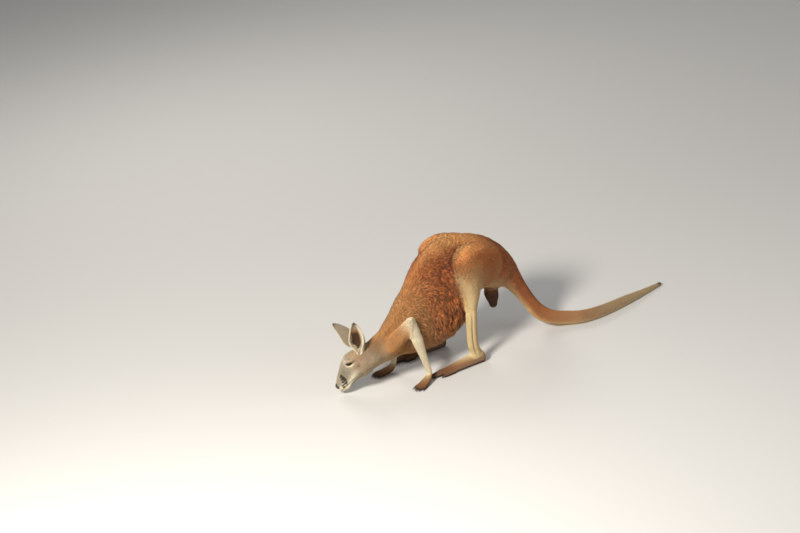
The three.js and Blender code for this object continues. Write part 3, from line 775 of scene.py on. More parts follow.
def headForm(points, about):
    # where each of the head's markings lies: tan brow patch, white cheek stripe and lips, dark whisker rows
    u, v, w = about["head"]
    aside = np.abs(w)
    form = {k: headSpot(spot, u, v, aside) for k, spot in headSpots.items()}
    rough = cellNoise(points, 9.0, 33)
    tan = np.clip(form["browPatch"] + 0.4 * form["overEye"], 0, 1)
    neckward = ramp(u + 0.25 * v, 196, 244)
    line = u - 39 - 0.27 * v + 3 * rough
    pad = np.maximum(bump(line, 0, 11) * bump(v, 14, 23), 0.9 * bump(line, -16, 8) * bump(v, -1, 10))
    row = ramp(np.sin((v + 0.2 * u + 2 * rough) * 0.57), 0.15, 0.8) * (1 - ramp(u, 42, 50)) * ramp(u, 12, 22)
    reach, a, b = about["eyeReach"], about["eyeA"], about["eyeB"]
    corner, inner = bump(a, 19, 5) * bump(b, 1.0, 2.4), bump(a, -18, 4) * bump(b, -2.5, 2.6)
    stripe = bump(v, -27 + 0.29 * u + 3 * rough, 10) * ramp(u, 8, 26)
    stripe = stripe * (1 - ramp(u, 92, 132)) * ramp(aside, 10, 20)
    form.update(
        all=1.0, tan=tan, neckward=neckward, stripe=stripe, grey=(0.96 - 0.62 * tan) * (1 - 0.7 * neckward),
        lips=(1 - ramp(u, 22, 50)) * ramp(14 - v, 0, 12), jaw=bump(u, 128, 44) * ramp(24 - v, 0, 22),
        chin=ramp(-26 - v, 0, 14) * (1 - ramp(u, 100, 160)), lipRows=row * form["lipRows"],
        whiskerPad=ramp(pad, 0.12, 0.6) * ramp(aside, 8, 15) * (1 - 0.85 * row),
        mouthEdge=bump(v, -11 - 0.07 * u, 2.2) * (1 - ramp(u, 60, 80)) * ramp(u, -8, 4),
        lidEdge=bump(reach, 1.0, 0.22), lowerLid=bump(reach, 1.5, 0.3) * ramp(-b, 0, 6),
        eyeCorners=np.maximum(0.75 * corner, 0.6 * inner), cheek=form["cheek"] * (1 + 0.8 * rough),
        earSlit=form["earSlit"] * bump(aside, 17, 7))
    return form


def markSkin(points, about):
    # markings as shares of sandy, grey, cream, white and dark over the rusty ground colour; some of these
    # shares are painted light and some painted shade, noted where they are made
    s, place, top, up = about["share"], about["place"], about["top"], about["normals"][:, 2]
    x, z = points[:, 0] - middle[0], points[:, 2]
    drift = cellNoise(points, 60.0, 31) * 0.5 + cellNoise(points, 25.0, 32) * 0.3

    def past(stretch, wander=0.0):
        return ramp(place + wander * drift, *bodyRows[stretch])

    body = s["body"]
    tail, nape = 1 - past("tail", 1.0), past("nape", 0.5)
    under, low = ramp(-top + 0.15 * drift, 0.0, 0.6), ramp(-top + 0.2 * drift, 0.35, 0.95)
    fore = ramp(place + 0.9 * top + 0.6 * drift, *bodyRows["fore"])
    throat = past("throat", 0.4) * ramp(0.5 - top, 0, 0.7)
    # the top of the back, made sandier and lighter as painted light
    litTop = ramp(top, 0.72, 0.93) * past("litTop") * (1 - tail)
    sandy = body * np.clip(0.75 * tail + 0.8 * fore + 0.65 * low + 0.8 * litTop, 0, 0.95)
    grey = body * (0.35 * (1 - past("greyTail")) + 0.15 * throat + 0.1 * nape)
    cream = body * np.clip(0.5 * under * (1 - past("tailUnder")) + 0.4 * low * bump(place, 12.6, 1.6)
                           + 0.45 * (1 - past("paleTip", 0.5)) + 0.3 * throat, 0, 0.8)
    white = 0.2 * s["forearm"]
    # dark at the tail's tip, and a little painted shade over the top of the tail's base
    dark = body * (0.8 * (1 - past("tailTip")) + 0.2 * bump(place, 8.5, 2.5) * (1 - under))
    dark += 0.12 * body * bump(place, 15.6, 1.3) * bump(top, 0.5, 0.35)
    # thigh: rusty above, buff to cream at the knee, with a pale front edge, partly real buff and partly
    # painted highlight, and painted shade in the fold before it
    edge, front = thighEdge(points)
    fall = z + 70 * ramp(x, 40, 130)
    paleEdgeAndHighlight = front * bump(edge, 0.12, 0.14)
    # the thigh's upward faces, where sandy, lighter locks and paler tips are painted light
    upward = s["thigh"] * ramp(up, 0.35, 0.95)
    sandy += s["thigh"] * np.clip(0.2 + 0.6 * ramp(500 - fall + 25 * drift, 0, 90) + 0.6 * paleEdgeAndHighlight, 0, 0.85)
    sandy += 0.35 * upward
    cream += s["thigh"] * (0.8 * ramp(410 - fall + 20 * drift, 0, 95) + 0.2 * paleEdgeAndHighlight)
    # painted shade in the fold before the thigh's front edge
    dark += 0.75 * front * bump(edge, -0.02, 0.05)
    # shank: cream, with painted shade as a dark line in the groove before the heel's tendon, and a rear that
    # is browner and also carries painted shade
    rearBrownAndShade = ramp(-about["bestTop"], -0.35, 0.5)
    grooveShadeStretch = s["shank"] * ramp(about["bestPlace"], 0.45, 0.62) * (1 - ramp(about["bestPlace"], 0.92, 1))
    sandy += s["shank"] * 0.6
    cream += s["shank"] * (0.62 + 0.34 * ramp(390 - z, 0, 120)) * (1 - 0.3 * rearBrownAndShade)
    dark += 0.6 * grooveShadeStretch * bump(about["bestTop"], 0.36, 0.12) + 0.16 * s["shank"] * rearBrownAndShade
    # feet and hands: brown, dark at the toes and soles, cream where the leg or arm comes down
    toes = ramp(footLayout["heel"][0] - x, 105, 190)
    sandy += s["foot"] * 0.4 + s["hand"] * 0.7
    cream += s["hand"] * 0.75 * ramp(z, 16, 46) + s["foot"] * 0.95 * ramp(z, 26, 50)
    grey += s["foot"] * 0.45 * (1 - 0.75 * ramp(up, 0.0, 0.6))
    dark += s["foot"] * np.clip(0.3 + 0.3 * toes + 0.5 * ramp(16 - z, 0, 12), 0, 0.8) * (1 - ramp(z, 30, 60))
    dark += s["hand"] * np.clip(0.5 * ramp(46 - z, 0, 30) + 0.35 * ramp(20 - z, 0, 14), 0, 0.85)
    # arms: sandy shoulder, cream from the elbow down, palest at the elbow
    sandy += s["upperArm"] * 0.85 + s["forearm"] * 0.6
    cream += s["upperArm"] * 0.8 * ramp(about["armPlace"], 0.62, 0.95) + s["forearm"] * 0.85
    white = white + (s["upperArm"] + s["forearm"]) * 0.45 * bump(about["armPlace"], 1.0, 0.3)
    sandy += s["scrotum"] * 0.3
    dark += s["scrotum"] * (0.45 + 0.4 * ramp(255 - z, 0, 50))
    marks = {"sandy": sandy, "grey": grey, "cream": cream, "white": white, "dark": dark}
    form, ear = headForm(points, about), about["ear"]
    for key, shares in headShares.items():
        onHead = np.clip(sum(share * form[k] for k, share in shares.items()), 0, headMost[key])
        marks[key] = (marks[key] + s["head"] * onHead) * (1 - ear) + ear * about["earMarks"][key]
    about["shaggy"] = about["trunk"] * (0.12 + 0.88 * ramp(0.92 - top, 0, 0.25)) * (1 - 0.7 * fore)
    # painted light on the top of the back and on the thigh's upward faces
    about["litTop"] = body * litTop + 0.8 * upward
    # painted highlight on the tufts' tips: a little over the body, more low on the flanks, on the top of the
    # back and on the thigh's upward faces
    tipHighlightShare = body * np.clip(0.2 + 0.8 * ramp(-top, -0.45, 0.2) + 0.8 * litTop, 0, 1)
    marks["tipHighlight"] = tipHighlightShare * (1 - fore) * (1 - tail) + 0.6 * upward
    # how strongly painted shade falls at the tufts' roots and on the skin under the coat
    marks["underShade"] = 0.3 + 0.7 * about["shaggy"]
    return {k: np.clip(m, 0, 1) for k, m in marks.items()}


def studyEyes(points):
    # reach from the nearer eye as a share of its oval, and the place along and across it
    size = len(points)
    reach, eyeA, eyeB = np.full(size, 9.0), np.full(size, 99.0), np.full(size, 99.0)
    for side in bothSides:
        along, short, outward, centre = eyeAxes(side)
        offset = points - centre
        a, b, c = offset @ along, offset @ short, offset @ outward
        here = (c > 0) & (np.hypot(a, b) < 50)
        reach = np.minimum(reach, np.where(here, np.hypot(a / 15, b / 9), 9.0))
        eyeA, eyeB = np.where(here, a, eyeA), np.where(here, b, eyeB)
    return {"eyeReach": reach, "eyeA": eyeA, "eyeB": eyeB}


def studyEars(about, size):
    # a ring of an ear is its outer arc and then its inner one, so a point's number gives its place
    fields = {k: np.zeros(size) for k in ("ear", "inner", "sweep", "earT")}
    earMarks = {k: np.zeros(size) for k in ("grey", "white", "dark")}
    start = earStart
    for side in bothSides:
        rings, shape = earShell(side)
        count, around = rings.shape[:2]
        here = slice(start, start + count * around)
        t = np.repeat(shape["t"], around)
        arc = np.linspace(-1, 1, around // 2)
        sweep = np.tile(np.concatenate([arc, -arc]), count)
        inner = np.tile(np.repeat([0.0, 1.0], around // 2), count)
        hind = sweep * np.sign(shape["across"] @ headBack)  # 1 at the hind rim, -1 at the front one
        front = 0.3 + 0.42 * ramp(t, 0.1, 0.3)
        rim = np.maximum(ramp(hind, -0.02, 0.3), ramp(-hind, front, front + 0.2))
        tip, edge = ramp(t, 0.84, 0.98), ramp(np.abs(sweep), 0.84, 0.97)
        foot = 0.7 * (1 - inner) * (1 - ramp(t, 0.06, 0.2))
        hollow = inner * 0.92 * (1 - rim) * (1 - 0.85 * ramp(t, 0.5, 0.74))
        outer = (1 - inner) * 0.3 * (1 - edge) * ramp(t, 0.06, 0.2)
        earMarks["grey"][here] = 0.8 - 0.68 * inner * (1 - ramp(t, 0.55, 0.8))
        earMarks["white"][here] = (inner * 0.8 * rim + (1 - inner) * 0.6 * edge + foot) * (1 - tip)
        earMarks["dark"][here] = np.clip(hollow + 0.55 * tip + outer, 0, 0.95)
        about["lie"][here] = shape["axis"]
        about["bestPlace"][here], about["bestTurn"][here] = np.clip(t, 0, 1), sweep * np.pi * 0.98
        about["best"][here] = len(about["names"]) + (side == "right")
        fields["inner"][here], fields["sweep"][here], fields["earT"][here] = inner, sweep, t
        start += count * around + 2  # the shell's two end points
        fields["ear"][here.start:start] = 1
    about.update(fields, earMarks=dict(earMarks, sandy=0.9, cream=0.0))


def studySkin():
    normals = readNormals(skin.data)
    about = describeSkin(skinPoints, normals)
    arms = [about["names"].index(f"upperArm_{side}") for side in bothSides]
    onArm = np.isin(about["best"], arms)
    about["armPlace"] = np.where(onArm, about["bestPlace"], ramp(about["share"]["forearm"], 0, 0.6))
    about.update(studyEyes(skinPoints))
    studyEars(about, len(skinPoints))
    lie = about["lie"]
    about["lie"] = unit(lie - normals * (lie * normals).sum(1, keepdims=True))
    about["share"] = {k: share * (1 - about["ear"]) for k, share in about["share"].items()}
    return about, markSkin(skinPoints, about)


about, marks = studySkin()
print("skin studied")


def bareness(points, about):
    # 1 where no tuft grows: eyes, nose, mouth line, soles, ears' hollows
    u, v, w = about["head"]
    head = about["share"]["head"]
    bare = head * (1 - ramp(about["eyeReach"], 1.05, 1.3))
    fromNose = np.sqrt(((u - 3) / 14) ** 2 + ((v - 10) / 16) ** 2 + (w / 20) ** 2)
    bare = np.maximum(bare, head * (1 - ramp(fromNose, 0.9, 1.1)))
    bare = np.maximum(bare, head * bump(v, -11 - 0.07 * u, 1.6) * (u < 78))
    bare = np.maximum(bare, (points[:, 2] < 2.5) & (points[:, 2] > -9) & (about["normals"][:, 2] < -0.5))
    bare = np.maximum(bare, about["ear"] * about["inner"] * (1 - ramp(np.abs(about["sweep"]), 0.62, 0.85))
                      * ramp(about["earT"], 0.14, 0.22))
    bare = np.maximum(bare, about["ear"] * (about["earT"] < 0.0))
    return bare


unwrapSettings = {"edge": 0.02, "bodyHigh": 0.30, "perRow": 11, "first": 0.36, "pitch": (0.0885, 0.21),
                  "cell": (0.078, 0.19)}


def unwrapPlace(best, place, turn):
    # one cell of the unit square for each part, along its length by round its girth;
    # the body has a wide cell below the others
    edge, first, perRow = (unwrapSettings[k] for k in ("edge", "first", "perRow"))
    names = about["names"] + [f"ear_{side}" for side in bothSides]
    order = sorted(range(len(names)), key=lambda number: names[number] != "body")
    cells = np.empty((len(names), 4))
    cells[order[0]] = (edge, edge, 1 - 2 * edge, unwrapSettings["bodyHigh"])
    for count, number in enumerate(order[1:]):
        row, column = divmod(count, perRow)
        across, up = unwrapSettings["pitch"]
        cells[number] = (edge + column * across, first + row * up, *unwrapSettings["cell"])
    cell = cells[best]
    around = turn / (2 * np.pi) + 0.5
    onBody = best == names.index("body")
    long, short = np.where(onBody, place, around), np.where(onBody, around, place)
    return np.stack([cell[:, 0] + cell[:, 2] * long, cell[:, 1] + cell[:, 3] * short], 1)


def sampleRoots(count, density, random):
    # places spread by area times density; taking steps down the list of faces keeps them even
    a, b, c = (skinPoints[skinFaces[:, k]] for k in range(3))
    area = np.linalg.norm(np.cross(b - a, c - a), axis=1) / 2
    total = np.cumsum(area * density[skinFaces].mean(1))
    wanted = int(min(count, total[-1]))
    face = np.searchsorted(total, (np.arange(wanted) + random.random(wanted)) / wanted * total[-1])
    face = np.minimum(face, len(skinFaces) - 1)
    p, q = np.sqrt(random.random(wanted)), random.random(wanted)
    weight = np.stack([1 - p, p * (1 - q), p * q], 1)
    return face, weight


coatSettings = {"seed": 11, "count": 150000, "perPiece": 19000}
tuftShape = {
    # sunk, least height and patch in millimetres, the rest as shares
    "sunk": 0.9, "middle": 0.46, "tipLift": 0.2, "firstPull": 0.35, "rootWidth": 0.8, "ridge": 0.34,
    "under": 0.4, "least": 0.3, "patch": 0.0015,
}
tuftFaces = np.array([[0, 1, 4], [0, 4, 3], [1, 2, 5], [1, 5, 4], [2, 0, 3], [2, 3, 5],
                      [3, 4, 6], [4, 5, 6], [5, 3, 6], [0, 2, 1]])
tuftPatch = np.array([[-1, 0], [0, 0], [1, 0], [-1, 1], [0, 1], [1, 1], [0, 2]]) * tuftShape["patch"]


def tuftMesh(name, tufts, values):
    # a tuft: a flat three-sided blade, root ring, middle ring and tip;
    # the middle rises by lift, the tip lies down again
    root, up, lie, length, width, lift, pull, place = tufts
    size, share = len(root), tuftShape
    across = unit(np.cross(lie, up))
    first = lie * np.cos(lift)[:, None] + up * np.sin(lift)[:, None]
    fallen = share["tipLift"] * lift
    second = lie * np.cos(fallen)[:, None] + up * np.sin(fallen)[:, None]
    base = root - up * share["sunk"]
    mid = root + first * (share["middle"] * length)[:, None] + pull * share["firstPull"]
    tip = mid + second * ((1 - share["middle"]) * length)[:, None] + pull * (1 - share["firstPull"])
    thick, half = (width * share["ridge"])[:, None], (width * 0.5)[:, None]
    points = np.empty((size, 7, 3))
    for start, centre, wide in ((0, base, share["rootWidth"]), (3, mid, 1.0)):
        points[:, start] = centre + up * thick * wide
        points[:, start + 1] = centre + (across * half - up * thick * share["under"]) * wide
        points[:, start + 2] = centre - (across * half + up * thick * share["under"]) * wide
    points[:, 6] = tip
    points[..., 2] = np.maximum(points[..., 2], share["least"])
    faces = (np.arange(size)[:, None, None] * 7 + tuftFaces).reshape(-1, 3)
    mesh = makeMesh(name, points.reshape(-1, 3) * mm, faces)
    for key, value in values.items():
        setFloats(mesh, key, np.repeat(value, 7))
    setFloats(mesh, "along", np.tile([0, 0, 0, 0.5, 0.5, 0.5, 1.0], size))
    layer = mesh.uv_layers.new(name="OFBake")
    corner = (np.repeat(place[:, None], 7, 1) + tuftPatch).reshape(-1, 2)[faces.ravel()]
    layer.data.foreach_set("uv", corner.astype(np.float32).ravel())
    return mesh


lockSettings = {
    "size": 7.0, "sleek": 0.55, "upward": 0.5, "step": 1.5, "pull": 6.5, "sleekPull": 0.25, "fullLength": 20,
    "most": 0.45, "swing": 0.22, "swingSize": 13.0, "lift": 0.55, "length": 0.16,
}
strayTufts = {"turn": 0.11, "lift": 0.04, "length": (0.78, 1.15), "width": (0.75, 1.2), "tint": 0.4}


def lockHeights(points, reach):
    # a smooth noise, long up and down, with a finer one on it
    places = points * np.array([1.0, 1.0, lockSettings["upward"]]) / reach[:, None]
    return cellNoise(places, 1.0, 41) + 0.45 * cellNoise(places, 0.45, 42)


def gatherLocks(root, up, length, trunk):
    # tips draw together up the slope of the locks' noise
    sleek, step, sleekPull = (lockSettings[k] for k in ("sleek", "step", "sleekPull"))
    reach = lockSettings["size"] * (sleek + (1 - sleek) * trunk)
    here = lockHeights(root, reach)
    slope = np.stack([lockHeights(root + move, reach) - here for move in np.eye(3) * step], 1) / step
    slope -= up * (slope * up).sum(1, keepdims=True)
    strength = lockSettings["pull"] * (sleekPull + (1 - sleekPull) * trunk)
    strength = strength * np.minimum(length / lockSettings["fullLength"], 1.2)
    pull = slope * reach[:, None] * strength[:, None] * 0.55
    most = lockSettings["most"] * length / np.maximum(np.linalg.norm(pull, axis=1), 1e-6)
    return here, pull * np.minimum(1, most)[:, None]


regionOf = {"thigh": "thigh", "shank": "shank", "upperArm": "arm", "forearm": "arm", "foot": "paws",
            "hand": "paws", "head": "head", "ear": "ears", "scrotum": "groin"}
bodyRegions = np.array(["tail", "rump", "flanks", "chest", "neck"])
bodyBorders = [10.5, 14.9, 17.4, 20.9]  # between those regions, in body rows


def nameRegions(best, bodyPlace):
    names = about["names"] + [f"ear_{side}" for side in bothSides]
    partly = [next((region for k, region in regionOf.items() if n.startswith(k)), "body") for n in names]
    regions = np.array(partly)[best]
    return np.where(regions == "body", bodyRegions[np.digitize(bodyPlace, bodyBorders)], regions)


def growCoat():
    random = np.random.default_rng(coatSettings["seed"])
    kinds = kindWeights(about)
    kinds /= np.maximum(kinds.sum(1, keepdims=True), 1e-6)
    length, width, lift, cover = (kinds @ np.array(list(coatKinds.values()))).T
    bare = bareness(skinPoints, about)
    density = cover / (0.5 * length * width) * (1 - bare)
    count = coatSettings["count"] // 1
    face, weight = sampleRoots(count, density, random)

    def at(values):
        corners = values[skinFaces[face]]
        return np.einsum("nk,nk...->n...", weight, corners)

    root, up, lie = at(skinPoints), unit(at(about["normals"])), at(about["lie"])
    lie = unit(lie - up * (lie * up).sum(1, keepdims=True))
    size = len(root)
    length, width, lift = at(length), at(width), np.radians(at(lift))
    trunk = at(about["shaggy"])
    here, pull = gatherLocks(root, up, length, trunk)
    high = np.clip(here, -1, 1)
    turn = random.normal(0, strayTufts["turn"], size)
    turn = turn + lockSettings["swing"] * trunk * cellNoise(root, lockSettings["swingSize"], 43)
    lie = unit(lie + np.cross(up, lie) * turn[:, None])
    lift = lift * (1 + lockSettings["lift"] * trunk * high) + random.normal(0, strayTufts["lift"], size)
    lift = np.clip(lift, 0.04, 0.6)
    length = length * random.uniform(*strayTufts["length"], size)
    length = length * (1 + lockSettings["length"] * high * trunk)
    width = width * random.uniform(*strayTufts["width"], size)
    values = {k: at(m) for k, m in marks.items()}
    values["tint"] = random.normal(0, strayTufts["tint"], size)
    # painted shade in the hollows between locks and painted light on their heights; painted light also makes
    # the crest and the haunch's top lighter
    values["lockShading"] = np.clip(0.56 + 0.75 * here, 0.1, 1.15) * trunk
    values["lockShading"] += (0.62 + 0.66 * at(about["litTop"])) * (1 - trunk)
    # grizzled where grey: single tufts paler or darker than their neighbours
    parted = 1 + 0.5 * at(about["share"]["head"]) - 0.6 * at(about["share"]["body"])
    grizzle = values["grey"] * (1 - values["white"]) * parted
    values["white"] = np.clip(values["white"] + 0.45 * grizzle * np.clip(values["tint"], 0, 1), 0, 1)
    values["dark"] = np.clip(values["dark"] + 0.4 * grizzle * np.clip(-values["tint"], 0, 1), 0, 1)
    vertex = skinFaces[face, weight.argmax(1)]
    best = about["best"][vertex]
    place = unwrapPlace(best, np.clip(about["bestPlace"][vertex], 0, 1), about["bestTurn"][vertex])
    regions = nameRegions(best, about["place"][vertex])
    tufts = (root, up, lie, length, width, lift, pull, place)
    made = []
    for region in sorted(set(regions)):
        chosen = np.flatnonzero(regions == region)
        chosen = chosen[np.argsort(root[chosen, 1], kind="stable")]
        pieces = -(-len(chosen) // coatSettings["perPiece"])
        for number, group in enumerate(np.array_split(chosen, pieces), 1):
            name = f"coat_{region}_{number}"
            mesh = tuftMesh(name, [field[group] for field in tufts], {k: m[group] for k, m in values.items()})
            made.append((region, addObject(name, mesh)))
    print("coat", size, "tufts in", len(made), "pieces")
    return made


coat = growCoat()


def gridFaces(rows, columns, wrapRows=False):
    # triangles over a grid of points whose columns close on themselves
    i, j = np.meshgrid(np.arange(rows if wrapRows else rows - 1), np.arange(columns), indexing="ij")
    a = (i * columns + j).ravel()
    b = (i * columns + (j + 1) % columns).ravel()
    c = ((i + 1) % rows * columns + (j + 1) % columns).ravel()
    d = ((i + 1) % rows * columns + j).ravel()
    return np.concatenate([np.stack([a, b, c], 1), np.stack([a, c, d], 1)])


def makeEye(side):
    # a ball with a slightly fuller front; "fromPupil" runs out from its middle
    along, short, out, centre = eyeAxes(side)
    radius = eyeSettings["radius"]
    lean = np.linspace(0.02, np.pi - 0.02, eyeSettings["rings"])[:, None]
    turn = (np.arange(eyeSettings["around"]) / eyeSettings["around"] * 2 * np.pi)[None]
    swell = 1 + eyeSettings["swell"] * bump(lean, 0, eyeSettings["swellReach"])
    a = radius * swell * np.sin(lean) * np.cos(turn)
    b = radius * swell * np.sin(lean) * np.sin(turn)
    c = radius * swell * np.cos(lean) + 0 * turn
    rings = centre + a[..., None] * along + b[..., None] * short + c[..., None] * out
    points, faces = tube(rings)
    eye = addObject(f"eyeball_{side}", makeMesh(f"eyeball_{side}", points * mm, faces))
    setFloats(eye.data, "fromPupil", np.concatenate([(lean / np.pi + 0 * turn).ravel(), [0, 1]]))
    return eye


def ringHeights(side, a, b):
    # how far out the skin stands at places (a, b) of the eye's own frame, smoothed round the ring
    along, short, out, centre = eyeAxes(side)
    offset = skinPoints - centre
    skinA, skinB, skinC = offset @ along, offset @ short, offset @ out
    near = np.flatnonzero((skinC > -2) & (np.hypot(skinA, skinB) < 34))
    nearest = np.argmin((a[:, None] - skinA[near]) ** 2 + (b[:, None] - skinB[near]) ** 2, axis=1)
    height = skinC[near][nearest]
    for _ in range(6):
        height = 0.5 * height + 0.25 * (np.roll(height, 1) + np.roll(height, -1))
    return height


lidSettings = {
    "rings": 26, "around": 96,
    "corners": (0.9, 1.25),  # powers that point the opening's corners
    "clear": 0.9, "sunk": 1.6, "raised": 2.4, "margin": 0.8, "crease": -0.9, "outside": 0.5,
    "thick": (1.0, 2.2),
}


def makeLids(side):
    # a ring from the almond opening on the eyeball out to the face; a back wall closes it
    along, short, out, centre = eyeAxes(side)
    length, upper, lower = eyeSettings["open"]
    borderA, borderB = eyeSettings["border"]
    turn = (np.arange(lidSettings["around"]) / lidSettings["around"] * 2 * np.pi)[None]
    s = np.linspace(0, 1, lidSettings["rings"])[:, None]
    c, r = np.cos(turn), np.sin(turn)
    powerA, powerB = lidSettings["corners"]
    openA = length * np.sign(c) * np.abs(c) ** powerA
    openB = np.where(r > 0, upper, lower) * np.sign(r) * np.abs(r) ** powerB
    a = openA * (1 - s) + borderA * c * s
    b = openB * (1 - s) + borderB * r * s
    reach = eyeSettings["radius"] * (1 + eyeSettings["swell"]) + lidSettings["clear"]
    ball = np.sqrt(np.maximum(reach**2 - a**2 - b**2, 0))
    face = (ringHeights(side, borderA * c[0], borderB * r[0]) - lidSettings["sunk"])[None]
    face = face + lidSettings["raised"] * (1 - ramp(s, 0.35, 1.0))
    onFace = ramp(s, 0.1, 0.62)
    height = np.maximum(ball * (1 - onFace) + face * onFace, ball - 0.3 * ramp(s, 0.1, 0.3))
    height = height + lidSettings["margin"] * bump(s, 0.13, 0.08)
    height = height + lidSettings["crease"] * bump(s, 0.4, 0.07) * (r > 0)
    height = height + lidSettings["outside"] * bump(s, 0.6, 0.12)
    front = centre + a[..., None] * along + b[..., None] * short + height[..., None] * out
    rim, more = lidSettings["thick"]
    back = front - out * (rim + more * np.sin(np.pi * s)[..., None])
    rings = np.concatenate([front, back[::-1]])
    points, faces = rings.reshape(-1, 3), gridFaces(len(rings), rings.shape[1], True)
    test = np.cross(front[14, 0] - front[13, 0], front[13, 1] - front[13, 0]) @ out
    if test > 0:
        faces = faces[:, ::-1]
    lids = addObject(f"lids_{side}", makeMesh(f"lids_{side}", points * mm, faces))
    edge = np.concatenate([s, s[::-1]]) + 0 * turn
    setFloats(lids.data, "edge", edge.ravel())
    setFloats(lids.data, "lower", np.tile(ramp(-r, 0.1, 0.8), (len(rings), 1)).ravel())
    return lids


noseSettings = {
    "place": [3.0, 9.5, 0], "reach": [13.5, 15.0, 19.5], "rings": 110, "around": 160,
    "hollow": 3.4, "comma": 2.4, "groove": 1.3, "fullDepth": 11,
}


def makeNose():
    # a squashed ball with a parting groove and two comma nostrils
    u0, v0, w0 = noseSettings["place"]
    ru, rv, rw = noseSettings["reach"]
    lean = np.linspace(0.015, np.pi - 0.015, noseSettings["rings"])[:, None]
    turn = (np.arange(noseSettings["around"]) / noseSettings["around"] * 2 * np.pi)[None]
    du, dv, dw = -np.cos(lean) + 0 * turn, np.sin(lean) * np.cos(turn), np.sin(lean) * np.sin(turn)
    v, w = rv * dv, rw * dw
    front = du < 0.35
    aside = np.abs(w)
    hollow = noseSettings["hollow"] * bump(v, 1.5 + 0.45 * (aside - 8), 2.4) * bump(aside, 8.6, 3.3)
    comma = noseSettings["comma"] * bump(v, 4.4, 1.6) * bump(aside, 12.2, 2.8)
    groove = noseSettings["groove"] * bump(w, 0, 1.1) * (v < 4)
    shrink = 1 - (hollow + comma + groove) * front / noseSettings["fullDepth"]
    points = headPoint(u0 + ru * du * shrink, v0 + rv * dv * shrink, w0 + rw * dw * shrink)
    points, faces = tube(points)
    return addObject("nosePad", makeMesh("nosePad", points * mm, faces))


def makeClaws(paw, side):
    shells, along = [], []
    for name, rows in claws.items():
        if name.startswith(f"{paw}_claw_{side}"):
            part = limbPart(rows, upWay, 28)
            rings = ringPoints(part, 20)
            rings[..., 2] = np.maximum(rings[..., 2], 0.4)
            shells.append(tube(rings))
            along.append(np.concatenate([np.repeat(part["place"], 20), [0, 1]]))
    points, faces = joinShells(shells)
    made = addObject(f"claws_{paw}_{side}", makeMesh(f"claws_{paw}_{side}", points * mm, faces))
    setFloats(made.data, "along", np.concatenate(along))
    return made


eyes = {side: makeEye(side) for side in bothSides}
lids = {side: makeLids(side) for side in bothSides}
nose = makeNose()
clawSets = {(paw, side): makeClaws(paw, side) for paw in ("foot", "hand") for side in bothSides}
print("eyes, lids, nose and claws made")


hairSettings = {
    # counts to a side; lengths and thicknesses in millimetres; strays are how far single hairs wander
    "seed": 5, "whiskers": 14, "whiskerLength": [20, 42], "whiskerThick": 0.32, "whiskerStray": 0.12,
    "lashes": 20, "lashLength": 6.5, "lashThick": 0.28,
    "fringe": 420, "fringeLength": [6, 13], "fringeThick": 0.34, "fringeStray": 0.16, "fringeSpread": 0.6,
}


def bentHairs(name, root, way, droop, length, thick, steps=5):
    # thin three-sided tapers along root + way * s + droop * s^2
    size = len(root)
    s = np.linspace(0, 1, steps + 1)
    reach = length[:, None] * s
    centre = root[:, None] + way[:, None] * reach[..., None] + droop[:, None] * (reach * s)[..., None]
    across = unit(np.cross(way, droop + np.array([1e-3, 2e-3, 1e-3])))
    other = unit(np.cross(way, across))
    angle = np.arange(3) * 2 * np.pi / 3
    ring = across[:, None] * np.cos(angle)[None, :, None] + other[:, None] * np.sin(angle)[None, :, None]
    radius = thick * (1 - 0.9 * s)
    points = centre[:, :, None] + ring[:, None] * radius[None, :, None, None]
    points[..., 2] = np.maximum(points[..., 2], 0.4)
    i, j = np.meshgrid(np.arange(steps), np.arange(3), indexing="ij")
    a, b = (i * 3 + j).ravel(), (i * 3 + (j + 1) % 3).ravel()
    pattern = np.concatenate([np.stack([a, b, b + 3], 1), np.stack([a, b + 3, a + 3], 1),
                              [[0, 2, 1], [steps * 3, steps * 3 + 1, steps * 3 + 2]]])
    faces = (np.arange(size)[:, None, None] * (steps + 1) * 3 + pattern).reshape(-1, 3)
    made = addObject(name, makeMesh(name, points.reshape(-1, 3) * mm, faces))
    setFloats(made.data, "along", np.tile(np.repeat(s, 3), size))
    return made


def makeWhiskers():
    random = np.random.default_rng(hairSettings["seed"])
    u, v, w = about["head"]
    normals = about["normals"]
    roots, ways = [], []
    for s in (1, -1):
        onPad = (u > 18) & (u < 44) & (v > -6) & (v < 18) & (w * s > 12)
        near = np.flatnonzero((about["share"]["head"] > 0.8) & onPad)
        chosen = random.choice(near, hairSettings["whiskers"], replace=False)
        roots.append(skinPoints[chosen])
        stray = random.normal(0, hairSettings["whiskerStray"], (len(chosen), 3))
        ways.append(unit(normals[chosen] * 0.8 + headBack * 0.75 - headUp * 0.2 + stray))
    root, way = np.concatenate(roots), np.concatenate(ways)
    length = random.uniform(*hairSettings["whiskerLength"], len(root))
    droop = np.array([0, 0, -0.25]) + 0 * way
    return bentHairs("whiskers", root - way, way, droop, length, hairSettings["whiskerThick"])


def makeLashes(side):
    along, short, out, centre = eyeAxes(side)
    opening, upper = eyeSettings["open"][:2]
    turn = np.linspace(0.25, np.pi - 0.25, hairSettings["lashes"])
    a = opening * np.cos(turn) * 0.98
    b = upper * np.sin(turn) ** 1.25 + 0.4
    c = np.sqrt((eyeSettings["radius"] + 1.4) ** 2 - a**2 - b**2)
    root = centre + a[:, None] * along + b[:, None] * short + c[:, None] * out
    way = unit(out + 0.25 * short + 0.5 * (a / opening)[:, None] * along - 0.1 * upWay)
    length = np.full(len(root), hairSettings["lashLength"])
    return bentHairs(f"lashes_{side}", root, way, 0.12 * short + 0 * way, length, hairSettings["lashThick"])


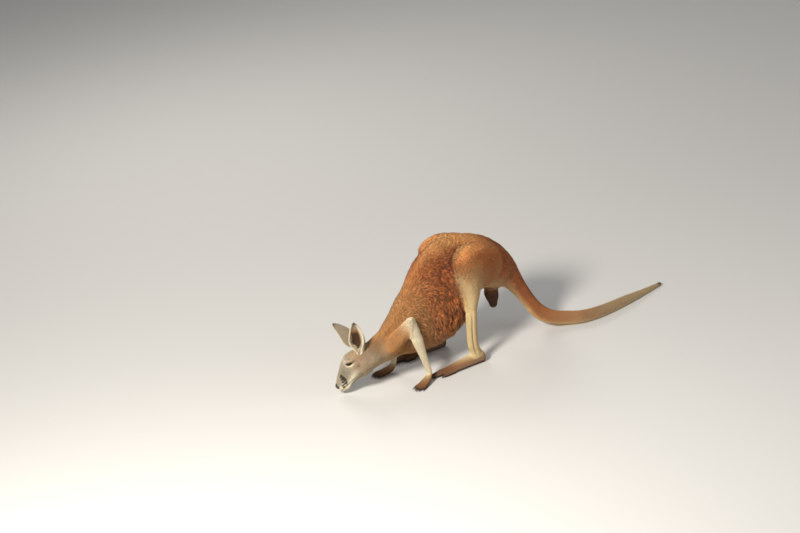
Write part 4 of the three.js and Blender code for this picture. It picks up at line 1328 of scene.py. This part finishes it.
def makeFringe(side):
    # pale hair over the front and foot of the ear's hollow
    random = np.random.default_rng(hairSettings["seed"] + earStart % 7)
    inner, sweep, t = about["inner"], about["sweep"], about["earT"]
    mine = about["best"] == len(about["names"]) + (side == "right")
    rim = mine & (np.abs(sweep) > 0.66) & (inner > 0.5) & (t > 0.02) & (t < 0.52)
    chosen = random.choice(np.flatnonzero(rim), hairSettings["fringe"])
    shape = earShell(side)[1]
    inward = -np.sign(sweep[chosen])[:, None] * shape["across"]
    stray = random.normal(0, hairSettings["fringeStray"], (len(chosen), 3))
    way = unit(0.95 * shape["axis"] + 0.55 * inward + 0.25 * shape["face"] + stray)
    length = random.uniform(*hairSettings["fringeLength"], len(chosen)) * (1.2 - 1.2 * t[chosen])
    root = skinPoints[chosen] + random.normal(0, hairSettings["fringeSpread"], (len(chosen), 3))
    return bentHairs(f"fringe_{side}", root, way, 0.3 * inward, length, hairSettings["fringeThick"], 4)


whiskers = makeWhiskers()
lashes = {side: makeLashes(side) for side in bothSides}
fringe = {side: makeFringe(side) for side in bothSides}


class Wire:
    # one socket of a node tree; + - and * make Math nodes
    def __init__(self, tree, socket=None):
        self.tree, self.socket = tree, socket

    def node(self, kind, settings=None, values=None, output=0):
        made = self.tree.nodes.new(kind)
        for key, value in (settings or {}).items():
            setattr(made, key, value)
        for key, value in (values or {}).items():
            if isinstance(value, Wire):
                self.tree.links.new(value.socket, made.inputs[key])
            else:
                made.inputs[key].default_value = value
        return Wire(self.tree, made.outputs[output])

    def sum(self, kind, *others):
        return self.node("ShaderNodeMath", {"operation": kind}, dict(enumerate(others)))

    def __add__(self, other):
        return self.sum("ADD", self, other)

    def __mul__(self, other):
        return self.sum("MULTIPLY", self, other)

    def __sub__(self, other):
        return self.sum("SUBTRACT", self, other)

    def __rsub__(self, other):
        return self.sum("SUBTRACT", other, self)

    __radd__, __rmul__ = __add__, __mul__

    def held(self):
        # kept between 0 and 1
        return self.node("ShaderNodeClamp", None, {"Value": self})

    def step(self, start, end):
        # 0 before start, 1 after end, smooth between
        return self.node("ShaderNodeMapRange", {"interpolation_type": "SMOOTHSTEP"},
                         {"Value": self, "From Min": start, "From Max": end})

    def attribute(self, name):
        return self.node("ShaderNodeAttribute", {"attribute_name": name}, None, "Fac")

    def place(self, scale=(1, 1, 1)):
        at = self.node("ShaderNodeTexCoord", None, None, "Object")
        return self.node("ShaderNodeVectorMath", {"operation": "MULTIPLY"}, {0: at, 1: scale})

    def noise(self, size, detail=2.0, rough=0.5, scale=(1, 1, 1)):
        values = {"Vector": self.place(scale), "Scale": 1 / size, "Detail": detail, "Roughness": rough}
        return self.node("ShaderNodeTexNoise", None, values)

    def cells(self, size):
        values = {"Vector": self.place(), "Scale": 1 / size}
        return self.node("ShaderNodeTexVoronoi", None, values, "Distance")

    def flat(self, tone):
        made = self.node("ShaderNodeRGB")
        made.socket.default_value = tone
        return made

    def mix(self, share, other, kind="MIX"):
        # share of the other colour over this one
        return self.node("ShaderNodeMix", {"data_type": "RGBA", "blend_type": kind},
                         {0: share, 6: self, 7: other}, 2)

    def times(self, amount):
        # a colour made lighter or darker by a number
        grey = self.node("ShaderNodeCombineColor", None, {"Red": amount, "Green": amount, "Blue": amount})
        return self.mix(1.0, grey, "MULTIPLY")

    def relief(self, depth):
        return self.node("ShaderNodeBump", None, {"Height": self, "Distance": depth})


def colour(red, green, blue):
    # from the 0..255 display scale to linear light
    shares = [channel / 255 for channel in (red, green, blue)]
    return (*[c / 12.92 if c <= 0.0404 else ((c + 0.055) / 1.055) ** 2.4 for c in shares], 1.0)


coatColours = {
    "rust": colour(182, 99, 44), "rustDeep": colour(148, 71, 31), "sandy": colour(188, 139, 86),
    "grey": colour(162, 154, 134), "cream": colour(230, 207, 155), "white": colour(240, 232, 206),
    "dark": colour(52, 35, 24), "tip": colour(236, 172, 100),
}


def makeMaterial(name, build, **constants):
    # build returns the linked inputs; constants go straight on the shader
    material = bpy.data.materials.new(name)
    material.use_nodes = True
    tree = material.node_tree
    shader = tree.nodes["Principled BSDF"]
    for key, value in constants.items():
        shader.inputs[key.replace("_", " ")].default_value = value
    for key, wire in build(Wire(tree)).items():
        tree.links.new(wire.socket, shader.inputs[key])
    return material


def markedColour(w):
    # rust, deepened in drifts, then each marking mixed over it by its share
    drift = w.noise(0.05, 3.0, 0.55)
    base = w.flat(coatColours["rust"])
    base = base.mix(drift.step(0.42, 0.62) * 0.55, coatColours["rustDeep"])
    for key in ("sandy", "grey", "cream", "white", "dark"):
        base = base.mix(w.attribute(key).held(), coatColours[key])
    return base


def tuftSurface(w):
    # colour = marking x painted shade at the roots x painted shade and light of the locks x tint x fleck;
    # paler tips, partly a painted highlight, where locks stand out
    along, tint, lockShading, underShade = (w.attribute(k) for k in ("along", "tint", "lockShading", "underShade"))
    base = markedColour(w)
    # tips paler: a slight real paling everywhere, and a painted highlight on top of that
    pale = along.step(0.35, 1.0) * (0.12 + 0.55 * w.attribute("tipHighlight") * lockShading.step(0.35, 0.9))
    base = base.mix((pale * (1.0 - w.attribute("dark"))).held(), coatColours["tip"])
    fleck = w.noise(0.0035, 2.0, 0.6, (1, 1, 0.5))
    # painted shade down at the roots, where the coat is deep
    root = 1.0 - 0.62 * underShade * (1.0 - along.step(0.0, 0.8))
    shade = root * (0.42 + 0.9 * lockShading) * (1.0 + 0.11 * tint) * (0.8 + 0.4 * fleck)
    strand = w.noise(0.0012, 1.0, 0.5, (1, 1, 0.25))
    return {"Base Color": base.times(shade), "Roughness": 0.62 + 0.2 * strand,
            "Normal": strand.relief(0.0006)}


def skinSurface(w):
    # the short coat seen between tufts: painted shade where the coat is deep, with fine streaks
    base = markedColour(w)
    streak = w.noise(0.0018, 3.0, 0.6, (1, 1, 0.4))
    return {"Base Color": base.times((0.98 - 0.62 * w.attribute("underShade")) * (0.72 + 0.4 * streak)),
            "Roughness": 0.72 + 0.15 * streak, "Normal": streak.relief(0.0012)}


def eyeSurface(w):
    # a lying oval pupil in a dark brown iris, black out to the lids
    out = w.attribute("fromPupil")
    iris = w.flat(colour(40, 22, 12))
    streak = w.noise(0.0011, 2.0, 0.6)
    iris = iris.mix(streak.step(0.35, 0.65) * 0.5, colour(74, 42, 20))
    black = (1.0 - out.step(0.10, 0.13)) + out.step(0.27, 0.31)
    return {"Base Color": iris.mix(black.held(), colour(8, 6, 5))}


def lidSurface(w):
    # dark wet margin, then skin the colour of the face around it
    edge, lower = w.attribute("edge"), w.attribute("lower")
    base = markedColour(w)
    base = base.mix(0.4 * (1.0 - lower), colour(120, 108, 92))
    base = base.mix(0.5 * (1.0 - edge.step(0.25, 0.6)) * (1.0 - lower), coatColours["dark"])
    pale = edge.step(0.14, 0.22) * (1.0 - edge.step(0.45, 0.7)) * 0.75 * lower
    base = base.mix(pale.held(), coatColours["cream"])
    base = base.mix(1.0 - edge.step(0.1, 0.18), colour(20, 14, 11))
    crease = w.noise(0.0016, 3.0, 0.6)
    return {"Base Color": base.times(0.75 + 0.3 * crease), "Roughness": 0.35 + 0.4 * edge.step(0.05, 0.2),
            "Normal": crease.relief(0.0006)}


def noseSurface(w):
    # damp black leather in small plates
    plates = w.cells(0.0021)
    base = w.flat(colour(30, 27, 26))
    return {"Base Color": base.mix(plates.step(0.2, 0.6) * 0.6, colour(62, 57, 54)),
            "Roughness": 0.34 + 0.22 * plates, "Normal": plates.relief(0.0007)}


def clawSurface(w):
    along = w.attribute("along")
    base = w.flat(colour(52, 44, 38))
    grain = w.noise(0.0012, 3.0, 0.6, (0.2, 1, 1))
    return {"Base Color": base.mix(along.step(0.4, 1.0) * 0.55, colour(98, 86, 70)).times(0.7 + 0.5 * grain),
            "Roughness": 0.34 + 0.25 * grain, "Normal": grain.relief(0.0004)}


def hairSurface(tone):
    def build(w):
        base = w.flat(tone)
        return {"Base Color": base.times(0.72 + 0.4 * w.attribute("along"))}
    return build


materials = {
    "tuft": makeMaterial("coatTuft", tuftSurface, Specular_IOR_Level=0.22, Sheen_Weight=0.12,
                         Sheen_Roughness=0.4),
    "skin": makeMaterial("coatUnder", skinSurface, Specular_IOR_Level=0.15),
    "eye": makeMaterial("eyeball", eyeSurface, Roughness=0.12, IOR=1.34, Coat_Weight=0.5,
                        Coat_Roughness=0.04),
    "lids": makeMaterial("lidSkin", lidSurface, Specular_IOR_Level=0.4),
    "nose": makeMaterial("noseLeather", noseSurface, Specular_IOR_Level=0.5, Coat_Weight=0.25,
                         Coat_Roughness=0.25),
    "claw": makeMaterial("clawHorn", clawSurface, Specular_IOR_Level=0.5),
    "whisker": makeMaterial("whiskerHair", hairSurface(colour(44, 36, 30)), Roughness=0.4),
    "fringe": makeMaterial("fringeHair", hairSurface(colour(226, 214, 186)), Roughness=0.6),
}


viewSettings = {"azimuth": -36.0, "elevation": 22.0, "roll": 7.5, "width": 3.404, "lens": 200.0,
                "aim": (-0.3415, 0.1837, 0.4153)}
lightSettings = {
    # place, size, power and tone of each lamp; all of them look at the same place
    "lookAt": (-0.2, 0, 0.2),
    "key": ((-3.9, -1.7, 3.1), 1.1, 335, (1.0, 0.95, 0.88)),
    "fill": ((2.2, -4.4, 2.2), 3.0, 42, (0.93, 0.96, 1.0)),
    "back": ((0.8, 3.8, 3.0), 2.0, 60, (1.0, 0.97, 0.93)),
}


def viewAxes(azimuth, elevation, roll):
    a, e, r = (math.radians(value) for value in (azimuth, elevation, roll))
    right = np.array([math.cos(a), math.sin(a), 0])
    up = np.array([-math.sin(e) * math.sin(a), math.sin(e) * math.cos(a), math.cos(e)])
    back = np.array([math.sin(a) * math.cos(e), -math.cos(a) * math.cos(e), math.sin(e)])
    return right * math.cos(r) - up * math.sin(r), right * math.sin(r) + up * math.cos(r), back


def placeCamera():
    right, up, back = viewAxes(viewSettings["azimuth"], viewSettings["elevation"], viewSettings["roll"])
    data = bpy.data.cameras.new("camera")
    data.lens = viewSettings["lens"]
    data.sensor_width = 36.0
    distance = viewSettings["width"] * data.lens / data.sensor_width
    data.clip_end = distance * 3
    camera = addObject("camera", data)
    place = np.array(viewSettings["aim"]) + back * distance
    turned = np.stack([right, up, back], 1)
    camera.matrix_world = Matrix([[*row, p] for row, p in zip(turned, place)] + [[0, 0, 0, 1]])
    bpy.context.scene.camera = camera


def placeLights():
    for name in ("key", "fill", "back"):
        data = bpy.data.lights.new(name, "AREA")
        data.shape = "DISK"
        place, data.size, data.energy, data.color = lightSettings[name]
        lamp = addObject(name, data)
        lamp.location = place
        toward = Vector(lightSettings["lookAt"]) - lamp.location
        lamp.rotation_euler = toward.to_track_quat("-Z", "Y").to_euler()


placeCamera()
placeLights()


def finishPiece(piece, material, nodes=()):
    piece.data.materials.clear()
    piece.data.materials.append(materials[material])
    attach(piece, "root")
    if nodes:
        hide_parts(*nodes)


def copyMarks(piece, sources):
    # each point takes the markings of the nearest of the skin's chosen points
    points = readPoints(piece.data) / mm
    near = skinPoints[sources]
    nearest = np.argmin(-2 * points @ near.T + (near**2).sum(1), axis=1)
    for key, values in marks.items():
        setFloats(piece.data, key, values[sources][nearest])


for key, values in marks.items():
    setFloats(skin.data, key, values)
for side in bothSides:
    centre = eyeAxes(side)[3]
    around = (np.linalg.norm(skinPoints - centre, axis=1) < 34) & (about["eyeReach"] > 1.5)
    copyMarks(lids[side], np.flatnonzero(around))
flesh = [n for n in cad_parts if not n.startswith("eye_") and "_claw_" not in n and n != "nose"]
finishPiece(skin, "skin", flesh)
for region, piece in coat:
    finishPiece(piece, "tuft")
for side in bothSides:
    finishPiece(eyes[side], "eye", [f"eye_{side}"])
    finishPiece(lids[side], "lids")
    finishPiece(lashes[side], "whisker")
    finishPiece(fringe[side], "fringe")
finishPiece(whiskers, "whisker")
finishPiece(nose, "nose", ["nose"])
for (paw, side), piece in clawSets.items():
    finishPiece(piece, "claw", [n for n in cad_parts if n.startswith(f"{paw}_claw_{side}")])


roomSettings = {
    "floorSize": 24.0, "paper": (0.62, 0.605, 0.575, 1), "paperRoughness": 0.9,
    "sky": (0.90, 0.93, 0.97, 1), "skyStrength": 0.3,
}


def makeFloor():
    half = roomSettings["floorSize"] / 2
    corners = np.array([[-half, -half, 0], [half, -half, 0], [half, half, 0], [-half, half, 0]])
    floor = addObject("floor", makeMesh("floor", corners, np.array([[0, 1, 2, 3]]), False))
    material = bpy.data.materials.new("floorPaper")
    material.use_nodes = True
    shader = material.node_tree.nodes["Principled BSDF"]
    shader.inputs["Base Color"].default_value = roomSettings["paper"]
    shader.inputs["Roughness"].default_value = roomSettings["paperRoughness"]
    floor.data.materials.append(material)


def makeSky():
    world = bpy.data.worlds.new("sky")
    world.use_nodes = True
    background = world.node_tree.nodes["Background"]
    background.inputs["Color"].default_value = roomSettings["sky"]
    background.inputs["Strength"].default_value = roomSettings["skyStrength"]
    bpy.context.scene.world = world
    bpy.context.scene.view_settings.view_transform = "Standard"


makeFloor()
makeSky()

print("scene ready")
